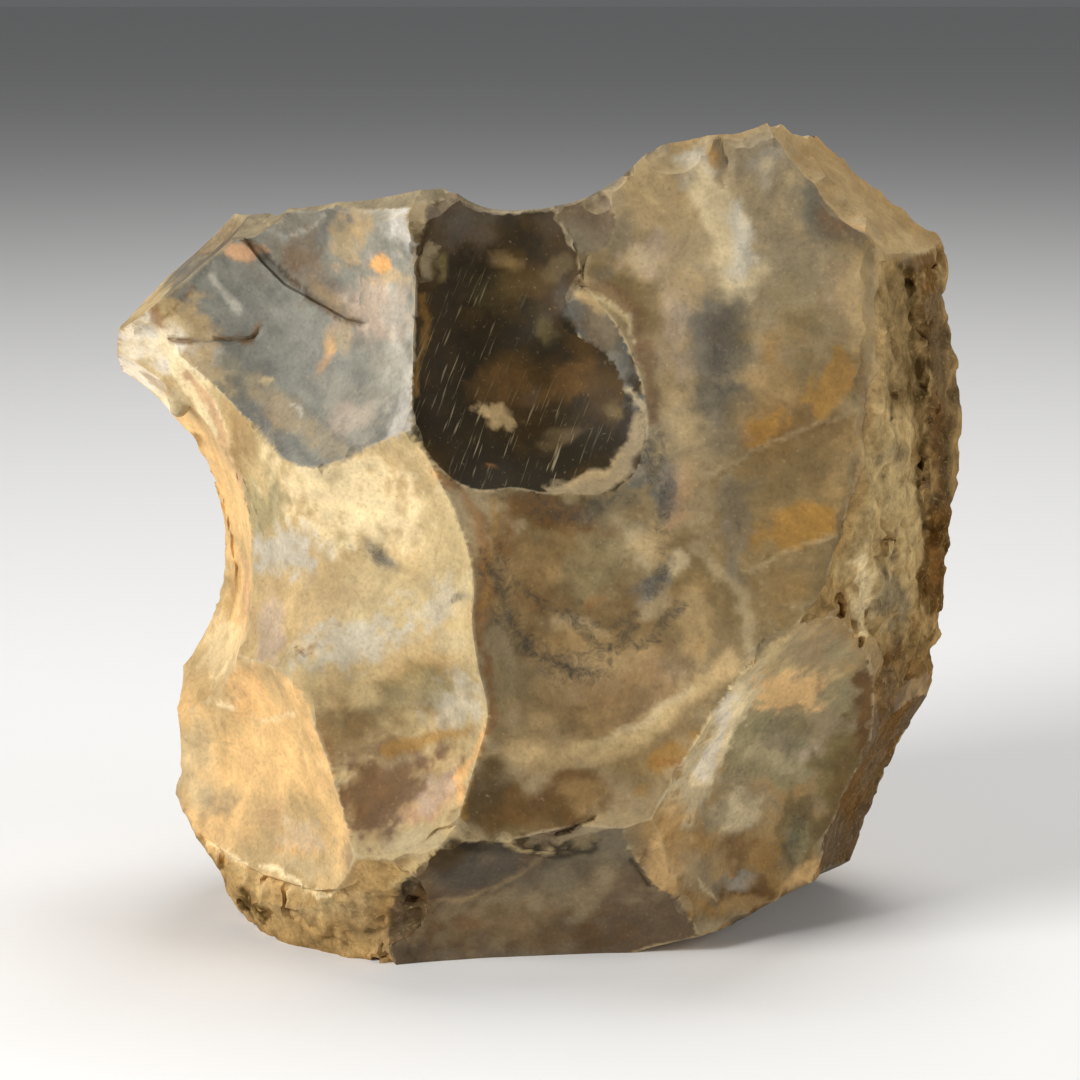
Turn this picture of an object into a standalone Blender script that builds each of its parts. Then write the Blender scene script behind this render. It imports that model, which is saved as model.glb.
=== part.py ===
"""Flint core: one worked nodule of flint, standing on a flat spot on its underside.

The core is built the way it was made.  It starts as a rounded nodule, and each flake that was
struck off takes its own bite out of it.  Every bite is an ellipsoid, so it leaves a shallow
hollow (a flake scar), and neighbouring scars meet along a sharp arris.  What no flake reached
stays as the nodule's outer skin (the cortex), on the right side, at the foot and on the back.

Frame: +X right, +Y away from the viewer, +Z up, origin on the floor under the middle of the
piece's box.  Numbers below are in millimetres; the mesh is made in metres.
"""

from __future__ import annotations

import math
from dataclasses import dataclass

import bmesh
import bpy
from mathutils import Matrix, Vector

MM = 0.001

# The nodule before it was worked: an egg-shaped lump, standing on end.
NODULE_CENTRE = (0.4, 4.5, 66.0)
NODULE_HALF_SIZE = (63.4, 41.3, 96.4)
NODULE_DETAIL = 5

# The right side carries the nodule's skin, flatter than the egg and turned to the front.
SKIN_TOUCH = (51.5, -10.5, 71.0)
SKIN_AZIMUTH = 58.0
SKIN_ELEVATION = 1.0
SKIN_RADIUS = 205.0
SKIN_DETAIL = 5

# The flat spot that the core stands on is the floor plane, Z = 0.
FOOT_BLOCK_SIZE = (200.0, 200.0, 60.0)

# Moves the finished piece so that the middle of its box stands over the origin.
CENTRING_SHIFT = (-0.561, -6.122)

STONE_COLOUR = (0.235, 0.165, 0.098, 1.0)
STONE_ROUGHNESS = 0.46


@dataclass(frozen=True)
class FlakeScar:
    """One removed flake: an ellipsoid that touches the stone at its deepest point.

    touch is the deepest point of the hollow.  azimuth and elevation give the way the hollow
    faces: azimuth 0 is to the front, 90 to the right, -90 to the left and 180 to the back.
    radius is the hollow's radius of curvature.  Along long_axis it is stretched.
    """

    name: str
    touch: tuple[float, float, float]
    azimuth: float
    elevation: float
    radius: float
    long_axis: tuple[float, float, float] = (0.0, 0.0, 1.0)
    stretch: float = 1.0


STRIKING_PLATFORM = (
    FlakeScar("platform_left", (-28.0, 16.0, 102.7), 178, 81, 140),
    FlakeScar("platform_dip", (-2.0, 12.0, 102.4), 180, 80, 22, (0.0, 1.0, -0.18), 4.0),
    FlakeScar("platform_tip", (-50.5, 14.0, 97.5), -80, 50, 150),
    FlakeScar("lobe_shoulder", (15.4, 9.0, 104.5), -125, 55, 50),
    FlakeScar("lobe_top", (24.0, 12.0, 108.9), -150, 74, 60),
    FlakeScar("lobe_back", (44.0, 12.0, 105.0), 155, 38, 90),
    FlakeScar("lobe_right_bevel", (44.0, 4.5, 112.0), 63, 42, 165),
)

FRONT_FACE = (
    FlakeScar("right_lobe", (25.0, -16.5, 79.0), 0, 20, 175),
    FlakeScar("dark_hollow", (-5.8, -9.2, 92.5), 3, 12, 16, (0.1, 0.2, 1.0), 1.75),
    FlakeScar("dark_hollow_top", (3.6, -9.4, 104.4), 12, 16, 14),
    FlakeScar("dark_hollow_foot", (1.4, -10.9, 82.3), 2, 10, 17),
    FlakeScar("central_hollow", (8.1, -24.6, 48.6), 2, 0, 25, (-0.25, 0.0, 1.0), 1.9),
    FlakeScar("central_hollow_foot", (-2.0, -28.5, 30.0), -4, -6, 22),
    FlakeScar("upper_left", (-30.7, -5.0, 90.0), -27, 11, 40),
    FlakeScar("left_shoulder", (-43.7, -4.6, 77.0), -45, -16, 50),
    FlakeScar("middle_left", (-21.3, -18.6, 60.8), -28, 7, 40),
    FlakeScar("lower_left", (-19.0, -22.2, 39.0), -24, -4, 31),
    FlakeScar("tip_undercut", (-56.5, 0.0, 82.8), -70, -50, 22),
    FlakeScar("left_waist", (-42.6, -1.0, 53.5), -76, 2, 25, (0.22, 0.0, 1.0), 1.3),
    FlakeScar("left_foot", (-36.0, -11.6, 26.3), -49, -2, 34, (1.0, -0.9, -0.6), 1.5),
    FlakeScar("lobe_edge_chip", (9.3, -12.6, 89.0), -20, 0, 17, (0.5, 0.0, -0.86), 1.5),
    FlakeScar("lower_right", (29.9, -16.0, 27.2), 33, -16, 42, (0.74, 0.0, 0.67), 1.4),
    FlakeScar("lower_right_heel", (15.7, -22.0, 14.5), 15, -22, 30),
    FlakeScar("right_foot", (49.1, 2.0, 23.2), 65, -25, 60),
    FlakeScar("front_foot", (-1.5, -23.2, 13.0), 9, -28, 48, (1.0, 0.18, 0.13), 1.85),
)

UNDERSIDE_AND_BACK = (
    FlakeScar("underside_right", (38.0, -4.0, 6.0), 60, -62, 90),
    FlakeScar("underside_front", (30.0, -16.0, 3.6), 35, -74, 120),
    FlakeScar("underside_left", (-34.0, 20.0, 3.0), -130, -50, 60),
    FlakeScar("underside_back", (5.0, 28.0, 3.0), 175, -50, 60),
    FlakeScar("back_left_waist", (-45.6, 11.0, 56.0), -118, 0, 34),
    FlakeScar("back_left_foot", (-54.0, 5.0, 30.0), -100, -5, 80),
    FlakeScar("back_upper_right", (18.0, 37.5, 82.0), 165, 12, 65),
    FlakeScar("back_lower_left", (-18.0, 36.0, 36.0), -168, -14, 60),
    FlakeScar("back_right", (35.0, 32.0, 48.0), 145, -4, 50),
    FlakeScar("back_upper_left", (-36.0, 30.0, 80.0), -140, 18, 40),
    FlakeScar("back_middle", (-6.0, 40.0, 66.0), -178, 4, 75),
)


def clear_scene() -> None:
    """Remove every object, so that the script can be run again in the same file."""
    for old in list(bpy.data.objects):
        bpy.data.objects.remove(old, do_unlink=True)


def facing(azimuth: float, elevation: float) -> Vector:
    """Unit vector of a direction given by its azimuth (from the front) and elevation."""
    turn = math.radians(azimuth)
    lift = math.radians(elevation)
    return Vector((math.sin(turn) * math.cos(lift), -math.cos(turn) * math.cos(lift), math.sin(lift)))


def sphere_detail(radius: float) -> int:
    """Icosphere subdivisions that keep the facets small next to the hollow's curve."""
    if radius < 25.0:
        return 3
    if radius < 120.0:
        return 4
    return 5


def add_ellipsoid(name: str, axes: Matrix, centre: Vector, detail: int) -> bpy.types.Object:
    """Add a closed ellipsoid; the columns of axes are its three half axes."""
    mesh = bpy.data.meshes.new(name)
    shape = bmesh.new()
    bmesh.ops.create_icosphere(shape, subdivisions=detail, radius=1.0)
    placing = Matrix.Translation(centre * MM) @ (axes * MM).to_4x4()
    bmesh.ops.transform(shape, matrix=placing, verts=shape.verts)
    bmesh.ops.recalc_face_normals(shape, faces=shape.faces)
    shape.to_mesh(mesh)
    shape.free()
    body = bpy.data.objects.new(name, mesh)
    bpy.context.scene.collection.objects.link(body)
    return body


def add_block(name: str, size: tuple[float, float, float], centre: Vector) -> bpy.types.Object:
    """Add a closed box of the given size around its centre."""
    mesh = bpy.data.meshes.new(name)
    shape = bmesh.new()
    bmesh.ops.create_cube(shape, size=1.0)
    placing = Matrix.Translation(centre * MM) @ Matrix.Diagonal(Vector(size) * MM).to_4x4()
    bmesh.ops.transform(shape, matrix=placing, verts=shape.verts)
    shape.to_mesh(mesh)
    shape.free()
    body = bpy.data.objects.new(name, mesh)
    bpy.context.scene.collection.objects.link(body)
    return body


def flake_body(scar: FlakeScar) -> bpy.types.Object:
    """Make the ellipsoid of one flake, tangent to the stone at the hollow's deepest point."""
    outward = facing(scar.azimuth, scar.elevation)
    along = Vector(scar.long_axis)
    along = (along - outward * along.dot(outward)).normalized()
    across = outward.cross(along)
    half_axes = Matrix((along * scar.radius * scar.stretch, across * scar.radius, outward * scar.radius))
    centre = Vector(scar.touch) + outward * scar.radius
    return add_ellipsoid("flake_" + scar.name, half_axes.transposed(), centre, sphere_detail(scar.radius))


def make_guide(body: bpy.types.Object) -> None:
    """Keep a helper body out of the finished part."""
    body.hide_render = True
    body.display_type = "WIRE"


def cut(stone: bpy.types.Object, tool: bpy.types.Object, operation: str) -> None:
    """Add one Boolean step to the stone."""
    step = stone.modifiers.new(tool.name, "BOOLEAN")
    step.operation = operation
    step.solver = "EXACT"
    step.object = tool
    make_guide(tool)


def stone_material() -> bpy.types.Material:
    """Grey-brown flint with a dull, slightly waxy face."""
    material = bpy.data.materials.new("flint")
    material.use_nodes = True
    shader = material.node_tree.nodes["Principled BSDF"]
    shader.inputs["Base Color"].default_value = STONE_COLOUR
    shader.inputs["Roughness"].default_value = STONE_ROUGHNESS
    shader.inputs["Metallic"].default_value = 0.0
    return material


def build_core() -> bpy.types.Object:
    """Knap the nodule into the core and stand it over the origin."""
    nodule_axes = Matrix.Diagonal(Vector(NODULE_HALF_SIZE))
    core = add_ellipsoid("flint_core", nodule_axes, Vector(NODULE_CENTRE), NODULE_DETAIL)
    skin_out = facing(SKIN_AZIMUTH, SKIN_ELEVATION)
    skin = add_ellipsoid(
        "skin_limit",
        Matrix.Diagonal(Vector((SKIN_RADIUS,) * 3)),
        Vector(SKIN_TOUCH) - skin_out * SKIN_RADIUS,
        SKIN_DETAIL,
    )
    cut(core, skin, "INTERSECT")
    floor_block = add_block("floor_limit", FOOT_BLOCK_SIZE, Vector((0.0, 0.0, -FOOT_BLOCK_SIZE[2] / 2)))
    cut(core, floor_block, "DIFFERENCE")
    for scar in STRIKING_PLATFORM + FRONT_FACE + UNDERSIDE_AND_BACK:
        cut(core, flake_body(scar), "DIFFERENCE")
    core.data.materials.append(stone_material())
    return core


def main() -> None:
    """Build the core from an empty scene."""
    clear_scene()
    core = build_core()
    bpy.context.view_layer.update()
    helpers = [body for body in bpy.context.scene.objects if body is not core]
    shift = Vector((CENTRING_SHIFT[0], CENTRING_SHIFT[1], 0.0)) * MM
    for body in [core, *helpers]:
        body.location = shift


if __name__ == "__main__":
    main()
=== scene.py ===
"""Flint core: the looks of one knapped flint nodule, standing on the flat of its underside.

The stone is one piece.  Its surface is worked out the way the core was made: a nodule, the flake
scars that were struck from it, the ripples and steps in those scars, the crushed edge chips and
the rough skin (cortex) that no flake reached.  The surface is then meshed so that the arrises stay
sharp, and it is dressed in one flint finish whose colour zones are laid on from the front.

Frame: +X right, +Y away from the viewer, +Z up, origin on the floor under the middle of the
piece's box.  Stone sizes are in millimetres; everything handed to Blender is in metres.
"""

import functools
import logging
import math
from collections.abc import Iterable
from dataclasses import dataclass
from enum import Enum

import bpy
import numpy as np
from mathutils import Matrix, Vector


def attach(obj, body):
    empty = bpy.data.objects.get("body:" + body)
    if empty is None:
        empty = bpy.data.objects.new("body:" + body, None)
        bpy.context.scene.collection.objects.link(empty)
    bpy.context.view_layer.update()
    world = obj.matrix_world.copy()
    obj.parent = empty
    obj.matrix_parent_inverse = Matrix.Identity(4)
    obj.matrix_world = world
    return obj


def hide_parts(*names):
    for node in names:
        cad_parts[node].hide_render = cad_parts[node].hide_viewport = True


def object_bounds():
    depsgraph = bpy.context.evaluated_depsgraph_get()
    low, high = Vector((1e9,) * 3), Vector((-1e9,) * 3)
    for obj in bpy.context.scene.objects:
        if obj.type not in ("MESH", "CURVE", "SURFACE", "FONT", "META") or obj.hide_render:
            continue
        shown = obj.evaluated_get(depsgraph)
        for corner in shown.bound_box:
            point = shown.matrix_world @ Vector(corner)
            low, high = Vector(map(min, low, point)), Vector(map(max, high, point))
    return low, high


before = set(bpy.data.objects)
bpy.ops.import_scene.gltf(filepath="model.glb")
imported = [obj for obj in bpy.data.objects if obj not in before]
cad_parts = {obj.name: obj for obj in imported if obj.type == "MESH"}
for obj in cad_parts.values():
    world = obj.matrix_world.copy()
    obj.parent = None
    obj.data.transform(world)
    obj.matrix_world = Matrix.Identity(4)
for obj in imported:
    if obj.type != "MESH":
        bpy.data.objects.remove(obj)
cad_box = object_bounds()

MM = 0.001
NODE = "flint_core"
BODY = "root"

# The stone is worked out where it was knapped, and then moved over the origin.
STANDING_SHIFT = np.array([-0.561, -6.122, 0.0], np.float32)

log = logging.getLogger("flint_core")


# ---------------------------------------------------------------- small shared tools


def facing(azimuth: float, elevation: float) -> np.ndarray:
    """Unit vector of a direction: azimuth 0 is to the front, 90 to the right, 180 to the back."""
    turn = math.radians(azimuth)
    lift = math.radians(elevation)
    return np.array([math.sin(turn) * math.cos(lift), -math.cos(turn) * math.cos(lift), math.sin(lift)])


def ease(value: np.ndarray, low: float, high: float) -> np.ndarray:
    """Smooth step: 0 at low, 1 at high."""
    t = np.clip((value - low) / (high - low), 0.0, 1.0)
    return t * t * (3.0 - 2.0 * t)


def soft_min(a: np.ndarray, b: np.ndarray, blend: float) -> np.ndarray:
    """Smaller of two distances, rounded over where they differ by less than blend."""
    near = np.maximum(blend - np.abs(a - b), 0.0) / blend
    return np.minimum(a, b) - near * near * blend * 0.25


def linear(tone: str) -> np.ndarray:
    """Linear red, green and blue of an sRGB hex colour."""
    parts = np.array([int(tone[i : i + 2], 16) for i in (1, 3, 5)]) / 255.0
    return np.where(parts <= 0.04045, parts / 12.92, ((parts + 0.055) / 1.055) ** 2.4)


@functools.cache
def noise_table(seed: int) -> np.ndarray:
    """Random lattice that a noise reads from; it repeats after 32 cells."""
    return np.random.default_rng(seed).uniform(-1.0, 1.0, (32, 32, 32)).astype(np.float32)


@dataclass(frozen=True)
class Noise:
    """Smooth seeded noise, about -1 to 1, over points in millimetres."""

    seed: int
    cell: float
    octaves: int = 1
    stretch: tuple[float, float, float] = (1.0, 1.0, 1.0)

    def at(self, points: np.ndarray) -> np.ndarray:
        """Noise value at each point.

        Args:
            points: an (n, 3) array of positions in millimetres.

        Returns:
            An array of n values.
        """
        total = np.zeros(len(points), np.float32)
        size = self.cell
        gain = 1.0
        for octave in range(self.octaves):
            scale = 1.0 / (np.array(self.stretch, np.float32) * size)
            total += gain * self._layer(points * scale + 7.3 * octave, self.seed + octave)
            size *= 0.5
            gain *= 0.5
        return total

    def _layer(self, cells: np.ndarray, seed: int) -> np.ndarray:
        """One octave, read from the random lattice and eased between its corners."""
        table = noise_table(seed)
        base = np.floor(cells)
        part = cells - base
        part = part * part * (3.0 - 2.0 * part)
        low = base.astype(np.int32) & 31
        high = (low + 1) & 31
        x, y, z = part.T
        columns = []
        for across in (low[:, 0], high[:, 0]):
            rows = []
            for away in (low[:, 1], high[:, 1]):
                rows.append(table[across, away, low[:, 2]] * (1 - z) + table[across, away, high[:, 2]] * z)
            columns.append(rows[0] * (1 - y) + rows[1] * y)
        return columns[0] * (1 - x) + columns[1] * x


@dataclass(frozen=True)
class FrontBoard:
    """A drawing board in front of the stone, for what is laid out as seen from the front.

    A point of the stone is carried to the board along the line to the viewer's eye, so a mark
    keeps its place and size whatever the depth of the surface that it falls on.
    """

    eye: tuple[float, float, float] = (0.0, -430.39, 149.08)
    tilt: float = 12.0
    reach: float = 440.0

    def place(self, points: np.ndarray) -> np.ndarray:
        """Across and up on the board, in millimetres, for each point of the stone."""
        tilt = math.radians(self.tilt)
        ahead = np.array([0.0, math.cos(tilt), -math.sin(tilt)], np.float32)
        above = np.array([0.0, math.sin(tilt), math.cos(tilt)], np.float32)
        ray = points - np.array(self.eye, np.float32)
        scale = self.reach / (ray @ ahead)
        return np.stack([ray[:, 0] * scale, (ray @ above) * scale], axis=1)

    def ray(self, spot: tuple[float, float]) -> np.ndarray:
        """Direction from the eye through a spot of the board, one millimetre of depth long."""
        tilt = math.radians(self.tilt)
        ahead = np.array([0.0, math.cos(tilt), -math.sin(tilt)])
        above = np.array([0.0, math.sin(tilt), math.cos(tilt)])
        way = ahead * self.reach + np.array([1.0, 0.0, 0.0]) * spot[0] + above * spot[1]
        return way / way[1]


BOARD = FrontBoard()
Spot = tuple[float, float]


def path_gap(spots: np.ndarray, path: Iterable[Spot]) -> tuple[np.ndarray, np.ndarray, np.ndarray]:
    """How far each board spot lies from an open path.

    Args:
        spots: an (n, 2) array of board positions.
        path: the path's points, in order.

    Returns:
        The distance, the side (1 on the left of the path's direction, -1 on its right), and how
        far along the path the nearest point is, from 0 to 1.
    """
    points = np.array(path, np.float32)
    steps = np.diff(points, axis=0)
    lengths = np.linalg.norm(steps, axis=1)
    starts = np.concatenate([[0.0], np.cumsum(lengths)])
    best = np.full(len(spots), np.inf, np.float32)
    side = np.ones(len(spots), np.float32)
    along = np.zeros(len(spots), np.float32)
    for start, step, length, before in zip(points[:-1], steps, lengths, starts):
        way = spots - start
        t = np.clip((way @ step) / (length * length), 0.0, 1.0)
        gap = way - t[:, None] * step
        reach = np.hypot(gap[:, 0], gap[:, 1])
        closer = reach < best
        best = np.where(closer, reach, best)
        turn = step[0] * way[:, 1] - step[1] * way[:, 0]
        side = np.where(closer, np.sign(turn), side)
        along = np.where(closer, (before + t * length) / starts[-1], along)
    return best, side, along


def near_path(spots: np.ndarray, path: Iterable[Spot], margin: float) -> np.ndarray:
    """Which spots lie within a margin of the path's box."""
    points = np.array(path)
    low = points.min(axis=0) - margin
    high = points.max(axis=0) + margin
    return np.flatnonzero(((spots > low) & (spots < high)).all(axis=1))


# ---------------------------------------------------------------- the stone's shape


@dataclass(frozen=True)
class FlakeScar:
    """The hollow that one struck flake left: an ellipsoid that touches the stone where it is deepest.

    touch is the deepest point, and azimuth and elevation give the way the hollow faces.  radius is
    its radius of curvature, stretched along long_axis.  Ripples spread through the scar from
    struck_from, where the blow fell.
    """

    touch: tuple[float, float, float]
    azimuth: float
    elevation: float
    radius: float
    long_axis: tuple[float, float, float] = (0.0, 0.0, 1.0)
    stretch: float = 1.0
    struck_from: tuple[float, float, float] | None = None
    ripple: float = 0.0
    ripple_step: float = 6.0

    def clearance(self, points: np.ndarray) -> np.ndarray:
        """Distance outside the flake's ellipsoid, less than 0 where the flake was."""
        outward = facing(self.azimuth, self.elevation)
        along = np.array(self.long_axis)
        along = along - outward * (along @ outward)
        along /= np.linalg.norm(along)
        squeeze = (np.eye(3) + (1.0 / self.stretch - 1.0) * np.outer(along, along)).astype(np.float32)
        centre = (np.array(self.touch) + outward * self.radius).astype(np.float32)
        away = (points - centre) @ squeeze
        length = np.sqrt(np.einsum("ij,ij->i", away, away))
        gap = length - np.float32(self.radius)
        if self.stretch != 1.0:
            slope = away @ squeeze
            steepness = np.sqrt(np.einsum("ij,ij->i", slope, slope)) / np.maximum(length, 1e-6)
            gap = gap / np.maximum(steepness, 1e-6)
        if self.struck_from is not None:
            gap = gap + self.ripples(points)
        return gap

    def ripples(self, points: np.ndarray) -> np.ndarray:
        """Ring-shaped waves around the blow, which die out close to it."""
        away = points - np.array(self.struck_from, np.float32)
        reach = np.sqrt(np.einsum("ij,ij->i", away, away))
        wave = np.sin(reach * (2.0 * math.pi / self.ripple_step))
        return self.ripple * wave * ease(reach, 8.0, 26.0)


@dataclass(frozen=True)
class ScarGroup:
    """Flake scars that run into each other over a rounded ridge of the given width."""

    scars: tuple[FlakeScar, ...]
    blend: float = 0.0

    def clearance(self, points: np.ndarray) -> np.ndarray:
        """Distance outside all flakes of the group."""
        gap = self.scars[0].clearance(points)
        for scar in self.scars[1:]:
            other = scar.clearance(points)
            gap = soft_min(gap, other, self.blend) if self.blend else np.minimum(gap, other)
        return gap


@dataclass(frozen=True)
class Groove:
    """A crack or channel in the front face, along a path on the board."""

    path: tuple[Spot, ...]
    width: float
    depth: float
    ragged: float = 0.0

    def cut(self, spots: np.ndarray, rough: np.ndarray) -> np.ndarray:
        """How deep the groove cuts at each spot; rough is a noise that makes it ragged."""
        gap, _, along = path_gap(spots, self.path)
        ends = ease(along, 0.0, 0.12) * ease(1.0 - along, 0.0, 0.12)
        ends = np.maximum(ends, 0.25) * (gap < 3.0 * self.width)
        depth = self.depth * (1.0 + self.ragged * rough)
        return depth * ends * np.exp(-((gap / self.width) ** 2))

    def margin(self) -> float:
        """How far from its path the groove reaches."""
        return 3.0 * self.width


@dataclass(frozen=True)
class StepLine:
    """A step in a scar: the ground on the left of the path drops, then comes back up slowly."""

    path: tuple[Spot, ...]
    drop: float
    reach: float
    wall: float = 0.5
    fade_from: float = 0.75

    def cut(self, spots: np.ndarray, rough: np.ndarray) -> np.ndarray:
        """How far the ground drops at each spot."""
        gap, side, along = path_gap(spots, self.path)
        inside = ease(gap * side, -0.5 * self.wall, 0.5 * self.wall)
        away = 1.0 - ease(gap, 0.25 * self.reach, self.reach)
        ends = ease(along, 0.0, 0.1) * (1.0 - ease(along, self.fade_from, 1.0))
        return self.drop * inside * away * ends

    def margin(self) -> float:
        """How far from its path the step reaches."""
        return self.reach


@dataclass(frozen=True)
class Fan:
    """Fine rays (hackles) that run down a scar, narrow at its waist and spread out below.

    levels gives the middle and half the width of the rays at heights on the board, lowest first.
    """

    levels: tuple[tuple[float, float, float], ...]
    rays: float = 7.0

    def height(self, spots: np.ndarray) -> np.ndarray:
        """Height of the rays at each spot, about -1 to 1."""
        ups, middles, halves = (np.array(part) for part in zip(*self.levels))
        middle = np.interp(spots[:, 1], ups, middles)
        half = np.interp(spots[:, 1], ups, halves)
        across = (spots[:, 0] - middle) / half * self.rays
        return Noise(291, 1.0, 2).at(np.stack([across, spots[:, 1] * 0.04, spots[:, 1] * 0.0], axis=1))


@dataclass(frozen=True)
class Bite:
    """A small flake struck from the front, set out on the board.

    The hollow faces azimuth and elevation, has the given radius of curvature and is depth deep.
    """

    at: Spot
    azimuth: float
    elevation: float
    radius: float
    depth: float


@dataclass(frozen=True)
class Knob:
    """A small lump that stands proud of the stone."""

    centre: tuple[float, float, float]
    radius: float


@dataclass(frozen=True)
class Nodule:
    """The lump of flint before it was worked, with the flatter, rougher skin on its right side."""

    centre: tuple[float, float, float] = (0.4, 4.5, 66.0)
    half_size: tuple[float, float, float] = (63.4, 41.3, 96.4)
    skin_touch: tuple[float, float, float] = (51.5, -10.5, 71.0)
    skin_azimuth: float = 58.0
    skin_elevation: float = 1.0
    skin_radius: float = 205.0

    def outside(self, points: np.ndarray) -> np.ndarray:
        """Distance outside the lump, less than 0 in the stone."""
        half = np.array(self.half_size, np.float32)
        away = (points - np.array(self.centre, np.float32)) / half
        length = np.sqrt(np.einsum("ij,ij->i", away, away))
        slope = away / half
        steepness = np.sqrt(np.einsum("ij,ij->i", slope, slope)) / np.maximum(length, 1e-6)
        egg = (length - 1.0) / np.maximum(steepness, 1e-6)
        outward = facing(self.skin_azimuth, self.skin_elevation)
        middle = (np.array(self.skin_touch) - outward * self.skin_radius).astype(np.float32)
        skin = np.linalg.norm(points - middle, axis=1) - self.skin_radius
        return np.maximum(egg, skin)


SCARS = {
    "platform_left": ScarGroup((FlakeScar((-28.0, 16.0, 102.7), 178, 81, 140),)),
    "platform_dip": ScarGroup((FlakeScar((-2.0, 12.0, 102.4), 180, 80, 22, (0.0, 1.0, -0.18), 4.0),)),
    "platform_tip": ScarGroup((FlakeScar((-50.5, 14.0, 97.5), -80, 50, 150),)),
    "lobe_shoulder": ScarGroup((FlakeScar((15.4, 9.0, 104.5), -125, 55, 50),)),
    "lobe_top": ScarGroup((FlakeScar((24.0, 12.0, 108.9), -150, 74, 60),)),
    "lobe_back": ScarGroup((FlakeScar((44.0, 12.0, 105.0), 155, 38, 90),)),
    "lobe_right_bevel": ScarGroup((FlakeScar((44.0, 4.5, 112.0), 63, 42, 165),)),
    "right_face": ScarGroup(
        (
            FlakeScar((25.0, -16.5, 79.0), 0, 20, 175, struck_from=(30.0, -6.0, 116.0), ripple=0.05),
            FlakeScar((8.1, -24.6, 48.6), 2, 0, 25, (-0.25, 0.0, 1.0), 1.9, (4.0, -14.0, 78.0), 0.07),
            FlakeScar((-2.0, -28.5, 30.0), -4, -6, 22),
        ),
        3.0,
    ),
    "dark_hollow": ScarGroup(
        (
            FlakeScar((-5.8, -9.2, 92.5), 3, 12, 16, (0.1, 0.2, 1.0), 1.75),
            FlakeScar((1.4, -10.9, 82.3), 2, 10, 17),
        ),
        1.5,
    ),
    "dark_hollow_top": ScarGroup((FlakeScar((3.6, -9.4, 104.4), 12, 16, 14),)),
    "upper_left": ScarGroup(
        (FlakeScar((-30.7, -5.0, 90.0), -27, 11, 40, struck_from=(-24.0, -4.0, 104.0), ripple=0.05),)
    ),
    "left_face": ScarGroup(
        (
            FlakeScar((-21.3, -18.6, 60.8), -28, 7, 40, struck_from=(-20.0, -12.0, 84.0), ripple=0.06),
            FlakeScar((-19.0, -22.2, 39.0), -24, -4, 31, struck_from=(-40.0, -10.0, 56.0), ripple=0.08),
            FlakeScar((-43.7, -4.6, 77.0), -45, -16, 50),
        ),
        4.0,
    ),
    "tip_undercut": ScarGroup((FlakeScar((-56.5, 0.0, 82.8), -70, -50, 22),)),
    "left_waist": ScarGroup((FlakeScar((-42.6, -1.0, 53.5), -76, 2, 25, (0.22, 0.0, 1.0), 1.3),)),
    "left_foot": ScarGroup(
        (FlakeScar((-36.0, -11.6, 26.3), -49, -2, 34, (1.0, -0.9, -0.6), 1.5, (-52.0, 0.0, 30.0), 0.06),)
    ),
    "lobe_edge_chip": ScarGroup((FlakeScar((9.3, -12.6, 89.0), -20, 0, 17, (0.5, 0.0, -0.86), 1.5),)),
    "lower_right": ScarGroup(
        (FlakeScar((29.9, -16.0, 27.2), 33, -16, 42, (0.74, 0.0, 0.67), 1.4, (48.0, -8.0, 52.0), 0.06),)
    ),
    "lower_right_heel": ScarGroup((FlakeScar((15.7, -22.0, 14.5), 15, -22, 30),)),
    "right_foot": ScarGroup((FlakeScar((49.1, 2.0, 23.2), 65, -25, 60),)),
    "front_foot": ScarGroup((FlakeScar((-1.5, -23.2, 13.0), 9, -28, 48, (1.0, 0.18, 0.13), 1.85),)),
    "underside_right": ScarGroup((FlakeScar((38.0, -4.0, 6.0), 60, -62, 90),)),
    "underside_front": ScarGroup((FlakeScar((30.0, -16.0, 3.6), 35, -74, 120),)),
    "underside_left": ScarGroup((FlakeScar((-34.0, 20.0, 3.0), -130, -50, 60),)),
    "underside_back": ScarGroup((FlakeScar((5.0, 28.0, 3.0), 175, -50, 60),)),
    "back_left_waist": ScarGroup((FlakeScar((-45.6, 11.0, 56.0), -118, 0, 34),)),
    "back_left_foot": ScarGroup((FlakeScar((-54.0, 5.0, 30.0), -100, -5, 80),)),
    "back_upper_right": ScarGroup(
        (FlakeScar((18.0, 37.5, 82.0), 165, 12, 65, struck_from=(16.0, 26.0, 112.0), ripple=0.1),)
    ),
    "back_lower_left": ScarGroup(
        (FlakeScar((-18.0, 36.0, 36.0), -168, -14, 60, struck_from=(-50.0, 20.0, 40.0), ripple=0.1),)
    ),
    "back_right": ScarGroup((FlakeScar((35.0, 32.0, 48.0), 145, -4, 50),)),
    "back_upper_left": ScarGroup((FlakeScar((-36.0, 30.0, 80.0), -140, 18, 40),)),
    "back_middle": ScarGroup((FlakeScar((-6.0, 40.0, 66.0), -178, 4, 75),)),
}

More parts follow.
